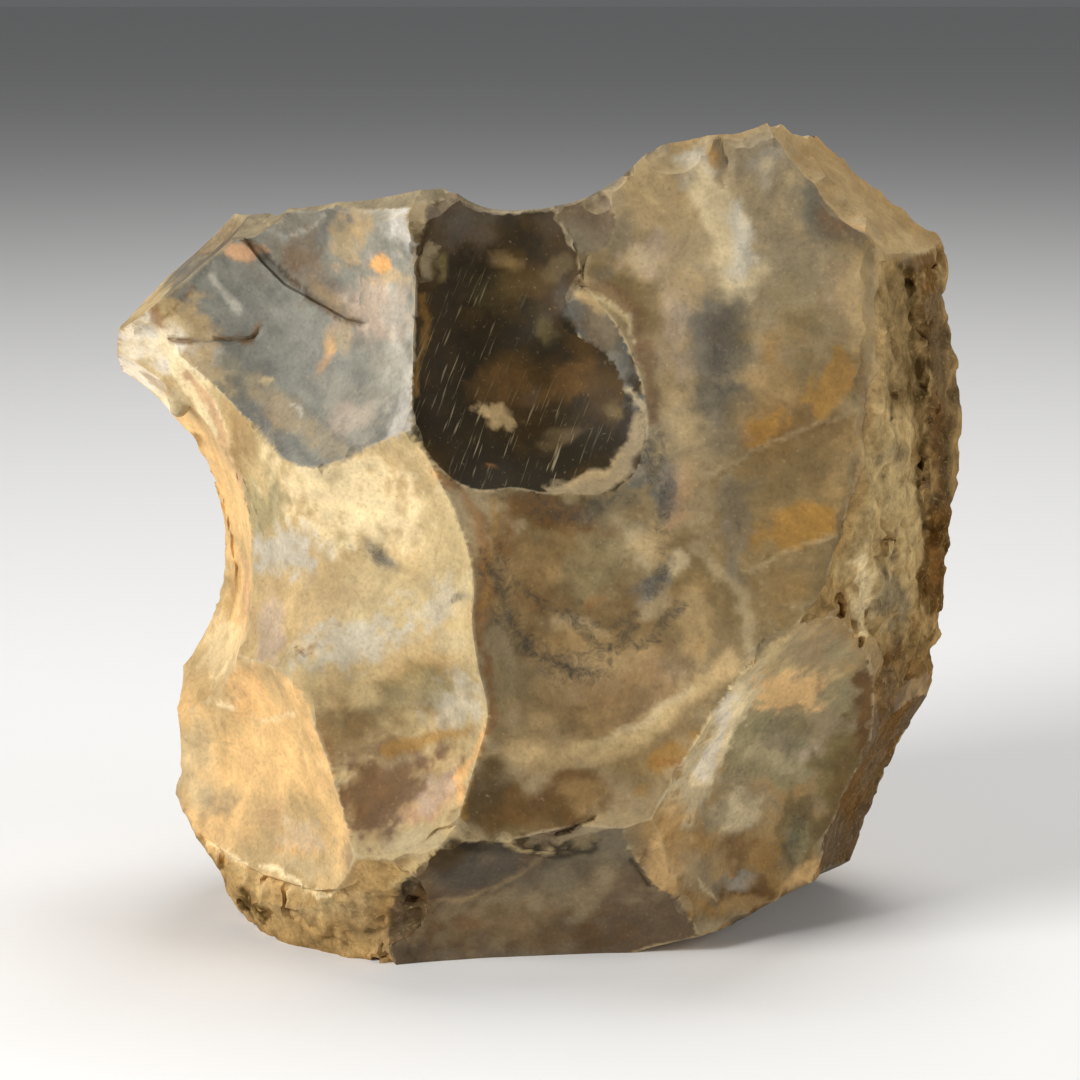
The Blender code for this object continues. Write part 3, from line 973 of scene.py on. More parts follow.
STAINS = {
    "upper_left": (
        Patch(Tone.BLUE_GREY, (-30.8, 20.5), (12.5, 8.8), -25, 0.7),
        Patch(Tone.MILK, (-21.7, 30.8), (5.3, 13.2), 5, 0.55),
        Patch(Tone.SHADOW_BLUE, (-43.3, 37.4), (6.6, 5.9), -30, 0.55),
        Patch(Tone.DUSK, (-35.2, 47.7), (10.3, 2.9), -8, 0.3, 0.45),
        Patch(Tone.DUSK, (-39.6, 40.8), (4.4, 2.9), -40, 0.35, 0.45),
        Patch(Tone.DUSK, (-34.5, 42.5), (4.1, 3.5), 0, 0.7, 0.52),
        Patch(Tone.PLUM, (-32.3, 37.4), (6.2, 3.2), -35, 0.45),
        Patch(Tone.SHADOW_BLUE, (-31.5, 45.2), (1.5, 2.6), 0, 0.8, 0.52),
        Patch(Tone.SAND, (-28.2, 44.0), (2.2, 3.8), 0, 0.6),
        Patch(Tone.SAND, (-26.1, 46.9), (1.5, 4.4), 0, 0.5),
        Patch(Tone.TAN, (-30.8, 35.2), (5.3, 1.3), -35, 0.45),
        Patch(Tone.LILAC, (-23.8, 34.5), (5.3, 5.6), -10, 0.85),
        Patch(Tone.ICE, (-21.1, 30.8), (2.3, 8.8), 0, 0.45),
        Patch(Tone.APRICOT, (-24.1, 40.0), (1.9, 1.2), 15, 0.95, 0.38),
        Patch(Tone.SAND, (-22.3, 38.1), (3.2, 1.5), 0, 0.6),
        Patch(Tone.FROST, (-20.8, 46.1), (3.8, 5.0), 0, 0.6, 0.68),
        Patch(Tone.FROST, (-19.4, 20.5), (2.2, 8.8), -8, 0.4, 0.68),
        Patch(Tone.MILK, (-30.1, 22.7), (5.0, 2.9), -35, 0.35, 0.68),
        Patch(Tone.APRICOT, (-30.7, 28.9), (1.0, 2.9), -25, 0.6),
        Patch(Tone.SAND, (-28.6, 30.1), (2.3, 2.1), 0, 0.4),
        Patch(Tone.SHADOW_BLUE, (-26.3, 29.6), (1.2, 1.2), 0, 0.6, 0.52),
        Patch(Tone.LILAC, (-27.9, 18.3), (4.4, 3.2), -30, 0.5),
        Patch(Tone.MOSS, (-46.2, 24.9), (5.9, 3.2), -40, 0.35),
        Patch(Tone.SAND, (-37.3, 17.9), (4.4, 1.9), -42, 0.5),
        Patch(Tone.MILK, (-37.0, 17.6), (4.4, 1.5), -42, 0.45),
        Patch(Tone.MILK, (-48.7, 27.3), (4.4, 2.3), -35, 0.5),
        Patch(Tone.FROST, (-51.3, 29.0), (3.8, 2.1), -30, 0.5),
        Patch(Tone.ICE, (-49.6, 27.9), (2.9, 1.8), -35, 0.4),
        Patch(Tone.SAND, (-51.3, 30.8), (4.4, 4.4), -30, 0.75, 0.45),
        Patch(Tone.SAND, (-49.1, 25.7), (5.3, 2.1), -42, 0.5, 0.52),
        Patch(Tone.SHADOW_BLUE, (-50.2, 40.8), (4.1, 1.9), 48, 0.85, 0.45),
        Patch(Tone.SHADOW_BLUE, (-51.3, 37.4), (2.9, 0.9), 40, 0.5, 0.45),
        Patch(Tone.SAND, (-56.0, 34.5), (3.8, 3.8), 0, 0.9, 0.38),
        Patch(Tone.FROST, (-57.2, 30.1), (4.4, 3.8), 0, 0.9, 0.38),
        Patch(Tone.CREAM, (-56.5, 30.1), (5.0, 3.8), 0, 0.6),
        Patch(Tone.RUST, (-56.0, 33.4), (0.9, 1.9), 25, 0.7, 0.38),
        Streak(Tone.ICE, ((-47.8, 38.9), (-45.8, 36.2), (-44.0, 33.3)), 0.6, 0.6),
        Patch(Tone.PINK, (-43.3, 42.2), (2.2, 1.5), -15, 0.9, 0.26),
        Streak(Tone.PUTTY, ((-40.8, 22.7), (-35.2, 16.9), (-28.6, 12.5), (-24.6, 11.7)), 2.2, 0.5, 0.68),
        Streak(
            Tone.SHADOW_BLUE,
            (
                (-45.2, 23.2), (-40.8, 17.9), (-35.9, 13.8),
                (-31.8, 10.3), (-29.6, 9.7),
            ),
            0.7, 0.55, 0.52,
        ),
        Streak(Tone.SHADOW_BLUE, ((-37.4, 21.7), (-34.0, 18.8), (-29.9, 15.5), (-25.2, 13.2)), 0.7, 0.45),
        Streak(Tone.ICE, ((-40.8, 45.2), (-37.8, 44.6), (-35.2, 45.5), (-30.8, 48.7)), 0.3, 0.35),
        Streak(Tone.BONE, ((-38.9, 46.6), (-37.0, 49.1), (-35.2, 49.9)), 0.6, 0.5, 0.45),
        # painted shadow: a dark line along the step in this scar, where its wall is in shade
        Streak(Tone.TREACLE, ((-44.0, 44.9), (-40.5, 40.5), (-37.0, 37.8)), 0.5, 0.7, 0.45),
        Streak(Tone.UMBER, ((-37.0, 37.8), (-33.6, 35.3), (-30.1, 33.6), (-26.7, 32.1)), 0.4, 0.7, 0.45),
        Streak(Tone.BROWN, ((-55.9, 29.3), (-49.1, 29.2), (-42.5, 29.2), (-40.8, 31.2)), 0.4, 0.75, 0.45),
        Streak(Tone.BROWN, ((-54.6, 33.0), (-50.2, 36.8)), 0.4, 0.6, 0.45),
        Streak(Tone.BONE, ((-49.1, 44.0), (-46.6, 45.2), (-44.7, 44.3)), 0.4, 0.6, 0.45),
        Patch(Tone.BUTTER, (-39.9, 23.8), (1.0, 0.7), 0, 0.7, 0.45),
        Streak(Tone.ICE, ((-37.1, 19.5), (-35.6, 18.9), (-35.2, 17.6)), 0.3, 0.7, 0.38),
    ),
    "tip_undercut": (
        Patch(Tone.FROST, (-57.9, 28.6), (8.8, 8.8), 0, 0.9, 0.38),
        Patch(Tone.CREAM, (-57.2, 25.7), (5.9, 4.4), 0, 0.35),
        Patch(Tone.RUST, (-55.7, 22.7), (2.1, 0.9), -30, 0.5, 0.45),
    ),
    "platform_tip": (
        Patch(Tone.BONE, (-49.1, 46.6), (8.8, 1.8), 20, 0.5, 0.52),
        Patch(Tone.SHADOW_BLUE, (-51.6, 40.8), (5.0, 2.3), 48, 0.8, 0.45),
        Patch(Tone.DUSK, (-47.7, 44.0), (4.4, 2.3), 30, 0.6, 0.52),
        Patch(Tone.BONE, (-57.2, 35.2), (3.5, 1.8), 48, 0.8, 0.45),
        Streak(Tone.SAND, ((-60.4, 30.1), (-57.2, 35.2), (-51.3, 44.6)), 1.0, 0.7, 0.45),
    ),
    "left_face": (
        Patch(Tone.FROST, (-57.2, 29.3), (7.3, 3.8), -20, 0.95, 0.45),
        Patch(Tone.CREAM, (-57.2, 28.6), (7.3, 3.8), -20, 0.55),
        Patch(Tone.CREAM, (-52.1, 26.1), (5.9, 2.3), -38, 0.75, 0.52),
        Patch(Tone.FROST, (-49.1, 25.5), (3.8, 1.8), -38, 0.6),
        Patch(Tone.TAN, (-44.6, 14.7), (3.2, 7.0), -12, 0.65, 0.52),
        Patch(Tone.RUST, (-44.3, 13.2), (1.2, 4.4), -8, 0.35),
        Streak(Tone.CREAM, ((-53.1, 24.6), (-49.1, 20.5), (-46.6, 14.7), (-45.2, 8.8)), 1.3, 0.9, 0.38),
        Streak(Tone.PINK, ((-52.2, 24.2), (-48.1, 19.4), (-45.8, 13.2), (-44.3, 8.5)), 0.6, 0.8, 0.45),
        Patch(Tone.BONE, (-53.4, 19.8), (1.5, 2.1), 0, 0.8, 0.38),
        Patch(Tone.TAN, (-44.0, 13.2), (2.6, 5.9), -8, 0.5),
        Patch(Tone.OCHRE, (-49.0, 10.3), (2.1, 5.0), -8, 0.6),
        Patch(Tone.CREAM, (-27.9, 5.9), (13.2, 6.7), -18, 0.75),
        Patch(Tone.STRAW, (-12.5, -2.9), (4.7, 8.8), 0, 0.8),
        Patch(Tone.MOSS, (-41.4, 4.1), (3.8, 5.3), -10, 0.65),
        Patch(Tone.ICE, (-37.4, -1.5), (5.9, 3.8), 0, 0.75),
        Patch(Tone.SAND, (-35.2, -11.7), (7.3, 5.9), 0, 0.6, 0.68),
        Patch(Tone.PUTTY, (-29.3, -8.8), (5.9, 4.4), 0, 0.5, 0.68),
        Patch(Tone.ICE, (-27.9, -14.7), (8.8, 3.5), 15, 0.65, 0.68),
        Patch(Tone.LILAC, (-39.3, -14.7), (2.1, 5.3), 0, 0.7),
        Patch(Tone.SAND, (-30.8, -8.8), (7.3, 3.2), 0, 0.35, 0.68),
        Patch(Tone.ICE, (-14.7, -8.8), (6.2, 3.2), 30, 0.5),
        Patch(Tone.BUTTER, (-10.3, -8.8), (2.3, 3.8), 0, 0.6, 0.52),
        Patch(Tone.SHADOW_BLUE, (-24.1, -1.9), (3.2, 1.2), -55, 0.5),
        Patch(Tone.SHADOW_BLUE, (-22.9, -3.2), (1.5, 0.6), -55, 0.6, 0.52),
        Patch(Tone.SHADOW_BLUE, (-12.0, -8.4), (1.8, 0.7), 15, 0.45),
        Patch(Tone.TAN, (-17.6, -19.4), (7.3, 2.3), 25, 0.75),
        Patch(Tone.OLIVE, (-18.3, -19.4), (5.0, 1.3), 25, 0.4),
        Patch(Tone.DRAB, (-23.5, -24.6), (13.2, 3.5), 14, 0.75, 0.68),
        Patch(Tone.MOSS, (-17.6, -22.0), (7.3, 2.6), 14, 0.5, 0.68),
        Patch(Tone.ICE, (-12.5, -24.2), (5.9, 3.8), 25, 0.55, 0.68),
        Patch(Tone.SAND, (-35.2, -23.5), (4.4, 3.8), 0, 0.7),
        Patch(Tone.BROWN, (-28.6, -30.1), (9.4, 5.3), 0, 0.55, 0.52),
        Patch(Tone.DRAB, (-20.5, -32.3), (8.8, 5.3), 15, 0.6),
        Patch(Tone.TAN, (-32.3, -29.3), (2.9, 2.9), 0, 0.5),
        Patch(Tone.RUST, (-32.0, -30.1), (1.5, 3.8), 25, 0.35),
        Patch(Tone.PLUM, (-22.7, -37.0), (9.7, 6.2), 20, 0.95, 0.45),
        Patch(Tone.BROWN, (-23.5, -38.1), (8.2, 5.0), 20, 0.5, 0.52),
        Patch(Tone.BROWN, (-26.4, -36.7), (5.9, 5.0), 10, 0.5),
        Patch(Tone.BROWN, (-24.9, -38.1), (5.0, 3.5), 20, 0.3),
        Streak(Tone.OCHRE, ((-22.3, -30.8), (-16.9, -29.3), (-10.3, -27.9)), 1.0, 0.65, 0.52),
        Streak(Tone.BONE, ((-28.6, -32.3), (-22.0, -32.6), (-14.7, -30.8)), 0.7, 0.15),
        Streak(Tone.BONE, ((-29.6, -34.9), (-27.9, -34.6), (-26.7, -34.0)), 0.3, 0.6, 0.45),
        Patch(Tone.PINK, (-16.4, -39.3), (5.0, 1.8), 30, 0.7),
        Patch(Tone.LILAC, (-13.9, -35.9), (2.9, 2.1), 30, 0.5),
        Patch(Tone.LILAC, (-16.1, -38.7), (2.3, 1.3), 30, 0.6),
        Patch(Tone.ICE, (-34.9, -43.3), (3.2, 2.1), 0, 0.2, 0.68),
        Patch(Tone.BONE, (-18.3, -44.0), (3.8, 1.5), 15, 0.6, 0.52),
        Streak(Tone.BONE, ((-36.1, 10.9), (-30.8, 9.4), (-28.6, 10.0), (-24.6, 11.4)), 0.9, 0.5),
        Patch(Tone.BONE, (-12.5, -14.7), (3.2, 1.8), 15, 0.55, 0.52),
        Streak(Tone.RUST, ((-36.2, -17.2), (-34.6, -16.1), (-33.1, -15.4)), 0.3, 0.6, 0.45),
        Streak(
            Tone.APRICOT,
            (
                (-15.3, 10.3), (-12.2, 7.2), (-9.4, 3.7), (-8.1, -1.3), (-7.8, -6.6), (-8.7, -12.9),
                (-6.9, -21.0), (-6.6, -24.1), (-7.9, -28.2), (-12.2, -35.8), (-11.3, -38.4),
            ),
            0.5, 0.6, 0.52,
        ),
    ),
    "left_waist": (
        Patch(Tone.BONE, (-53.4, 20.2), (2.3, 2.3), 0, 0.9, 0.38),
        Patch(Tone.HONEY, (-49.1, 10.3), (2.9, 8.8), 0, 0.8),
        Streak(Tone.HONEY, ((-49.9, 16.1), (-46.6, 5.9), (-44.6, -4.4), (-44.6, -14.7)), 1.5, 0.55),
        Streak(Tone.CREAM, ((-51.8, 16.1), (-48.1, 5.1), (-45.8, -4.4)), 0.6, 0.3, 0.52),
        Streak(Tone.OCHRE, ((-50.5, 14.7), (-49.3, 9.5), (-48.1, 4.4)), 1.2, 0.75),
        Patch(Tone.CREAM, (-45.8, -16.1), (3.8, 5.9), 8, 0.45),
        Streak(Tone.PINK, ((-43.4, -2.9), (-42.2, -11.7), (-41.7, -17.6)), 0.6, 0.6, 0.52),
        Streak(Tone.OCHRE, ((-47.7, 0.0), (-45.2, -5.1), (-46.1, -11.7)), 0.6, 0.35),
    ),
    "left_foot": (
        Patch(Tone.TAN, (-35.2, -56.5), (16.1, 5.0), 0, 0.9, 0.3),
        Patch(Tone.TAN, (-47.7, -51.3), (5.9, 4.4), 0, 0.9, 0.38),
        Patch(Tone.CREAM, (-45.5, -14.7), (3.5, 7.3), 0, 0.5),
        Patch(Tone.APRICOT, (-43.3, -23.5), (3.2, 5.3), 0, 0.5),
        Patch(Tone.PUTTY, (-46.6, -38.1), (3.5, 2.9), 0, 0.6, 0.38),
        Patch(Tone.GREY, (-48.0, -37.4), (1.5, 1.6), 0, 0.35, 0.38),
        Patch(Tone.GREY, (-45.5, -38.9), (1.3, 1.6), 0, 0.3, 0.38),
        Patch(Tone.APRICOT, (-35.2, -43.3), (3.8, 2.6), 0, 0.35, 0.52),
        Patch(Tone.HONEY, (-38.9, -33.7), (7.3, 5.9), 0, 0.4, 0.68),
        Patch(Tone.MOSS, (-31.5, -40.3), (3.2, 3.8), 0, 0.3),
        Patch(Tone.HONEY, (-40.8, -29.6), (8.8, 8.8), 0, 0.5, 0.68),
        Patch(Tone.PUTTY, (-26.1, -46.2), (3.5, 3.2), -30, 0.75, 0.52),
        Patch(Tone.BONE, (-49.9, -32.3), (2.3, 8.8), 0, 0.35),
        Patch(Tone.PINK, (-39.6, -40.3), (2.1, 2.3), 0, 0.35),
        Patch(Tone.ICE, (-35.2, -43.3), (3.5, 2.3), 0, 0.35, 0.68),
        Streak(Tone.CREAM, ((-50.3, -23.0), (-47.7, -23.8), (-45.5, -24.3)), 0.4, 0.7, 0.45),
        Streak(Tone.CREAM, ((-39.9, -26.4), (-38.1, -25.8), (-36.4, -25.2)), 0.4, 0.5, 0.45),
        Streak(Tone.CREAM, ((-51.3, -42.4), (-47.7, -44.9), (-43.4, -48.0)), 0.4, 0.8, 0.45),
        Streak(
            Tone.CREAM,
            (
                (-40.2, -48.0), (-37.4, -50.2), (-33.7, -51.3),
                (-28.9, -51.3), (-23.8, -49.9),
            ),
            0.5, 0.85, 0.45,
        ),
        Patch(Tone.BONE, (-35.2, -48.1), (4.4, 1.5), -10, 0.4),
    ),
    "dark_hollow": (
        Patch(Tone.TREACLE, (-10.3, 16.1), (9.1, 5.0), -20, 0.8),
        Patch(Tone.TREACLE, (2.9, 14.7), (10.3, 3.2), 8, 0.75),
        Patch(Tone.UMBER, (-14.7, 30.8), (4.4, 7.3), 0, 0.3),
        Patch(Tone.UMBER, (-1.5, 23.5), (8.8, 8.8), 0, 0.35, 0.68),
        Patch(Tone.TREACLE, (-2.2, 30.8), (7.3, 5.0), 0, 0.9, 0.68),
        Patch(Tone.OLIVE, (-5.9, 36.7), (5.9, 3.8), 0, 0.15, 0.68),
        Patch(Tone.TREACLE, (-1.2, 30.5), (3.8, 3.2), 0, 0.7, 0.68),
        Patch(Tone.TREACLE, (-9.5, 39.6), (4.4, 3.8), 0, 0.45, 0.68),
        Patch(Tone.DUSK, (-11.0, 45.5), (6.7, 4.1), 0, 0.6, 0.68),
        Patch(Tone.SHADOW_BLUE, (-10.9, 45.5), (3.8, 2.6), 0, 0.3, 0.68),
        Patch(Tone.SHADOW_BLUE, (-9.5, 47.7), (7.3, 2.1), -4, 0.25, 0.68),
        Patch(Tone.TREACLE, (2.9, 46.2), (7.3, 3.5), 10, 0.7),
        Patch(Tone.TREACLE, (0.0, 42.5), (5.9, 2.9), 10, 0.5),
        Patch(Tone.DUSK, (2.2, 46.6), (5.0, 2.3), 10, 0.3),
        Patch(Tone.TREACLE, (-3.7, 44.7), (1.8, 4.4), 20, 0.55),
        Streak(Tone.TREACLE, ((-4.1, 47.7), (-3.2, 43.3), (0.0, 40.8), (3.2, 39.6)), 1.0, 0.5),
        Patch(Tone.DRAB, (1.9, 39.6), (2.9, 1.8), 40, 0.4),
        Patch(Tone.TAN, (-5.1, 40.8), (2.1, 1.2), -30, 0.35),
        Patch(Tone.SHADOW_BLUE, (4.1, 35.2), (1.8, 2.6), 0, 0.25),
        Patch(Tone.OLIVE, (0.3, 30.8), (1.9, 2.1), 0, 0.35, 0.52),
        Patch(Tone.TREACLE, (2.9, 27.9), (2.3, 1.5), 0, 0.4),
        Patch(Tone.BROWN, (4.7, 23.8), (5.0, 3.5), 35, 0.55, 0.38),
        Patch(Tone.UMBER, (10.6, 21.3), (3.8, 3.2), -40, 0.55),
        Patch(Tone.TREACLE, (5.4, 19.8), (2.1, 1.2), 35, 0.7, 0.52),
        Patch(Tone.SHADOW_BLUE, (-0.7, 21.6), (1.5, 2.3), -10, 0.2),
        Patch(Tone.BROWN, (-5.9, 22.3), (5.3, 3.5), 0, 0.45),
        Patch(Tone.SAND, (-5.9, 17.6), (2.9, 1.8), -15, 0.85, 0.34),
        Patch(Tone.TREACLE, (-10.3, 22.0), (1.5, 7.3), -15, 0.35),
        Patch(Tone.OLIVE, (11.7, 18.3), (2.1, 1.5), 0, 0.5),
        Patch(Tone.DUSK, (5.1, 15.0), (1.3, 1.3), 0, 0.6, 0.52),
        Streak(
            Tone.TREACLE,
            (
                (-18.5, 17.9), (-13.2, 13.2), (-5.9, 10.6),
                (0.7, 10.3), (7.3, 13.2), (13.9, 16.9),
            ),
            1.8, 0.6, 0.52,
        ),
        Patch(Tone.DRAB, (2.9, 14.7), (3.2, 1.5), 5, 0.35),
        Streak(Tone.PUTTY, ((2.5, 7.0), (6.6, 7.6), (10.6, 10.3), (13.8, 14.4)), 1.5, 0.95, 0.34),
        Streak(Tone.SAND, ((5.1, 8.2), (8.8, 10.0), (11.7, 12.3)), 0.6, 0.5, 0.52),
        Patch(Tone.RUST, (-7.6, 10.7), (1.3, 0.4), -15, 0.7, 0.45),
        Streak(Tone.OCHRE, ((-16.9, 35.2), (-17.2, 28.6), (-18.0, 21.3)), 0.6, 0.55),
        Patch(Tone.OLIVE, (-14.5, 39.3), (1.0, 2.2), 0, 0.9, 0.38),
        Patch(Tone.BONE, (-16.1, 40.8), (1.3, 2.3), 0, 0.5, 0.45),
        Patch(Tone.UMBER, (-15.5, 39.3), (0.7, 2.3), 0, 0.8, 0.38),
    ),
    "lobe_edge_chip": (
        Patch(Tone.SHADOW_BLUE, (9.7, 28.6), (4.0, 8.5), 28, 0.9, 0.22),
        Patch(Tone.SLATE, (9.1, 29.3), (2.6, 6.5), 28, 0.7, 0.45),
        Patch(Tone.DUSK, (9.1, 30.1), (2.9, 6.5), 28, 0.7),
        Patch(Tone.UMBER, (9.4, 29.6), (2.1, 5.3), 28, 0.4),
        Patch(Tone.GREY, (8.8, 31.5), (2.1, 5.0), 28, 0.6),
        Patch(Tone.BLUE_GREY, (11.7, 24.6), (1.5, 2.3), 0, 0.5),
        Patch(Tone.SLATE, (13.5, 28.6), (1.2, 4.4), -20, 0.6),
        Patch(Tone.BROWN, (10.3, 17.6), (2.9, 2.9), 0, 0.5),
        Streak(Tone.TREACLE, ((0.7, 10.3), (7.3, 13.2), (13.9, 16.9)), 1.9, 0.85, 0.52),
        Streak(
            Tone.PUTTY,
            (
                (2.5, 7.0), (6.6, 7.6), (10.6, 10.3),
                (13.8, 14.4), (15.0, 16.9),
            ),
            1.6, 0.95, 0.34,
        ),
        Streak(Tone.SAND, ((5.1, 8.2), (8.8, 10.0), (11.7, 12.3)), 0.6, 0.5, 0.52),
        Streak(Tone.SAND, ((6.2, 36.4), (8.8, 34.5), (12.0, 32.3)), 1.2, 0.8, 0.52),
        Streak(Tone.BONE, ((5.4, 30.1), (8.8, 25.5), (12.5, 21.7), (15.0, 19.4)), 0.4, 0.7, 0.45),
    ),
    "right_face": (
        Patch(Tone.SAND, (17.6, 49.9), (8.8, 8.8), 0, 0.55, 0.68),
        Patch(Tone.GREY, (38.1, 35.2), (10.3, 16.1), 0, 0.4, 0.68),
        Patch(Tone.TAN, (36.7, -2.9), (11.7, 14.7), 0, 0.5, 0.68),
        Patch(Tone.TAN, (8.8, -26.4), (20.5, 13.2), 0, 0.5, 0.68),
        Patch(Tone.PUTTY, (11.7, -2.2), (8.8, 8.8), 0, 0.45, 0.68),
        Patch(Tone.DRAB, (41.1, 5.9), (16.1, 22.0), 0, 0.75, 0.68),
        Patch(Tone.BROWN, (39.6, 16.1), (8.8, 8.8), 0, 0.35, 0.68),
        Patch(Tone.DRAB, (8.8, -14.7), (27.9, 17.6), 0, 0.8, 0.68),
        Patch(Tone.BROWN, (0.7, -2.9), (9.4, 12.3), -20, 0.8, 0.68),
        Patch(Tone.UMBER, (0.0, 5.9), (7.3, 3.8), -20, 0.5, 0.68),
        Patch(Tone.BROWN, (14.7, -7.3), (8.8, 10.3), 0, 0.4, 0.68),
        Patch(Tone.BROWN, (38.1, 14.7), (10.3, 7.3), 0, 0.35, 0.68),
        Patch(Tone.TAN, (10.3, -22.0), (13.2, 4.4), 10, 0.45),
        Patch(Tone.DRAB, (0.7, -4.4), (7.3, 11.7), -20, 0.5, 0.68),
        Patch(Tone.DRAB, (33.7, -11.7), (10.3, 7.3), 20, 0.6, 0.68),
        Patch(Tone.SAND, (14.7, 41.8), (4.4, 3.2), 10, 0.75, 0.68),
        Patch(Tone.GREY, (10.3, 44.0), (2.3, 4.1), 0, 0.65),
        Patch(Tone.GREY, (8.8, 38.4), (2.9, 2.1), 0, 0.6),
        Patch(Tone.PUTTY, (16.9, 46.2), (5.9, 8.8), 0, 0.3, 0.68),
        Patch(Tone.ICE, (22.6, 55.7), (3.2, 2.9), 0, 0.65),
        Patch(Tone.LILAC, (14.7, 41.8), (4.1, 3.2), 0, 0.5),
        Patch(Tone.BONE, (14.7, 41.7), (2.6, 2.1), 0, 0.4),
        Patch(Tone.OCHRE, (25.7, 56.9), (1.2, 1.9), 0, 0.75, 0.45),
        Patch(Tone.GREY, (32.3, 55.0), (5.0, 5.0), 0, 0.5),
        Patch(Tone.MILK, (33.0, 55.4), (4.1, 3.5), 0, 0.65),
        Patch(Tone.BONE, (33.1, 55.0), (1.5, 0.9), -30, 0.6, 0.45),
        Patch(Tone.GREY, (44.0, 47.7), (5.9, 5.3), -40, 0.7),
        Patch(Tone.SLATE, (42.8, 48.8), (5.0, 3.5), -40, 0.65, 0.68),
        Patch(Tone.DUSK, (44.7, 46.6), (4.1, 2.9), -40, 0.7, 0.68),
        Patch(Tone.BROWN, (44.0, 47.4), (3.5, 2.6), -40, 0.4, 0.68),
        Streak(Tone.BONE, ((23.5, 53.5), (25.7, 49.1), (28.6, 44.0), (29.6, 37.4)), 2.8, 0.9, 0.52),
        Streak(Tone.ICE, ((28.5, 49.1), (30.2, 44.0), (29.9, 38.9)), 1.5, 0.65, 0.68),
        Patch(Tone.SAND, (22.0, 36.7), (3.8, 3.8), 0, 0.5),
        Patch(Tone.SHADOW_BLUE, (24.2, 28.6), (4.1, 9.1), 5, 0.85, 0.52),
        Patch(Tone.SLATE, (27.9, 27.9), (3.8, 8.8), 0, 0.6),
        Patch(Tone.SLATE, (25.2, 21.3), (4.4, 3.2), 0, 0.5),
        Patch(Tone.DUSK, (25.7, 27.9), (3.2, 7.3), 0, 0.35, 0.68),
        Patch(Tone.GREY, (36.7, 42.5), (4.4, 4.4), 0, 0.4, 0.68),
        Patch(Tone.OLIVE, (36.7, 35.2), (3.8, 5.9), 0, 0.3, 0.68),
        Patch(Tone.TAN, (33.7, 23.5), (4.4, 8.8), -10, 0.5),
        Patch(Tone.OCHRE, (33.0, 27.9), (1.2, 2.3), 0, 0.45),
        Patch(Tone.OCHRE, (43.3, 23.2), (2.9, 5.6), -35, 0.9, 0.3),
        Patch(Tone.BROWN, (44.9, 26.4), (1.8, 2.9), -35, 0.4),
        Patch(Tone.BROWN, (32.6, 16.1), (4.4, 2.9), 25, 0.6),
        Patch(Tone.OCHRE, (32.6, 16.1), (3.8, 2.3), 25, 0.7, 0.38),
        Patch(Tone.BROWN, (31.8, 15.3), (2.6, 1.5), 20, 0.5, 0.52),
        Patch(Tone.OCHRE, (38.1, 2.2), (7.6, 2.9), 12, 0.8, 0.52),
        Patch(Tone.TAN, (45.5, 10.3), (3.5, 5.9), 0, 0.5),
        Patch(Tone.OCHRE, (36.7, -7.6), (4.1, 2.9), 0, 0.3, 0.68),
        Patch(Tone.DRAB, (38.1, 10.3), (8.8, 3.5), 20, 0.6),
        Patch(Tone.GREY, (26.4, 14.7), (4.4, 3.5), 0, 0.6),
        Patch(Tone.SHADOW_BLUE, (29.0, 2.9), (2.1, 7.3), 0, 0.55, 0.45),
        Patch(Tone.DRAB, (29.0, 2.9), (2.9, 8.2), 0, 0.4),
        Patch(Tone.PLUM, (44.7, 36.7), (2.9, 4.4), 0, 0.35, 0.68),
        Patch(Tone.TAN, (48.1, 22.0), (1.5, 22.0), 0, 0.75),
        Patch(Tone.SAND, (47.2, 35.2), (3.2, 8.8), 0, 0.45),
        Patch(Tone.PUTTY, (46.9, 20.5), (3.5, 1.8), 20, 0.5),
        Patch(Tone.SAND, (20.8, 20.5), (2.9, 13.2), 4, 0.3),
        Patch(Tone.LILAC, (19.8, 30.8), (2.3, 8.8), 0, 0.35, 0.68),
        # pale lines along the two small steps in this scar: their own pale tone, with a painted highlight on
        # the step edges that face the light
        Streak(
            Tone.BONE,
            (
                (25.8, 8.8), (30.5, 12.9), (35.1, 14.8),
                (41.1, 17.0), (44.9, 18.9), (50.0, 19.8),
            ),
            0.4, 0.22, 0.52,
        ),
        Streak(
            Tone.BONE,
            (
                (30.5, -4.1), (35.1, -1.9), (38.9, -1.0),
                (41.7, -0.4), (45.5, 0.9),
            ),
            0.4, 0.22, 0.52,
        ),
        Streak(
            Tone.BONE,
            (
                (23.5, -1.2), (26.7, -4.7), (29.6, -8.8),
                (30.8, -15.4), (30.1, -19.1),
            ),
            1.2, 0.35, 0.68,
        ),
        Patch(Tone.LILAC, (9.7, -19.1), (8.8, 3.2), 5, 0.22, 0.68),
        Patch(Tone.TAN, (22.3, -11.4), (3.5, 4.4), 0, 0.45),
        Streak(Tone.SHADOW_BLUE, ((14.7, 18.3), (16.4, 14.7), (14.7, 10.3)), 1.8, 0.7),
        Patch(Tone.PUTTY, (18.2, 14.7), (2.6, 4.4), 0, 0.7, 0.52),
        Streak(Tone.BUTTER, ((6.7, 37.8), (9.5, 35.8), (13.2, 32.6)), 1.3, 0.5, 0.52),
        Streak(
            Tone.PLUM,
            (
                (7.0, 37.5), (10.6, 36.4), (14.1, 33.4),
                (15.8, 28.6), (16.4, 22.0), (15.8, 17.6),
            ),
            1.2, 0.7, 0.52,
        ),
        Streak(Tone.BONE, ((8.8, 35.2), (12.9, 32.6), (14.4, 29.3)), 0.4, 0.6, 0.52),
        Patch(Tone.DRAB, (43.3, 23.5), (7.3, 8.8), 0, 0.3, 0.68),
        Streak(
            Tone.RUST,
            (
                (-15.3, 10.3), (-12.2, 7.2), (-9.4, 3.7), (-8.1, -1.3), (-7.8, -6.6), (-8.7, -12.9),
                (-6.9, -21.0), (-6.6, -24.1), (-7.9, -28.2), (-12.2, -35.8), (-11.3, -38.4),
            ),
            0.9, 0.55, 0.52,
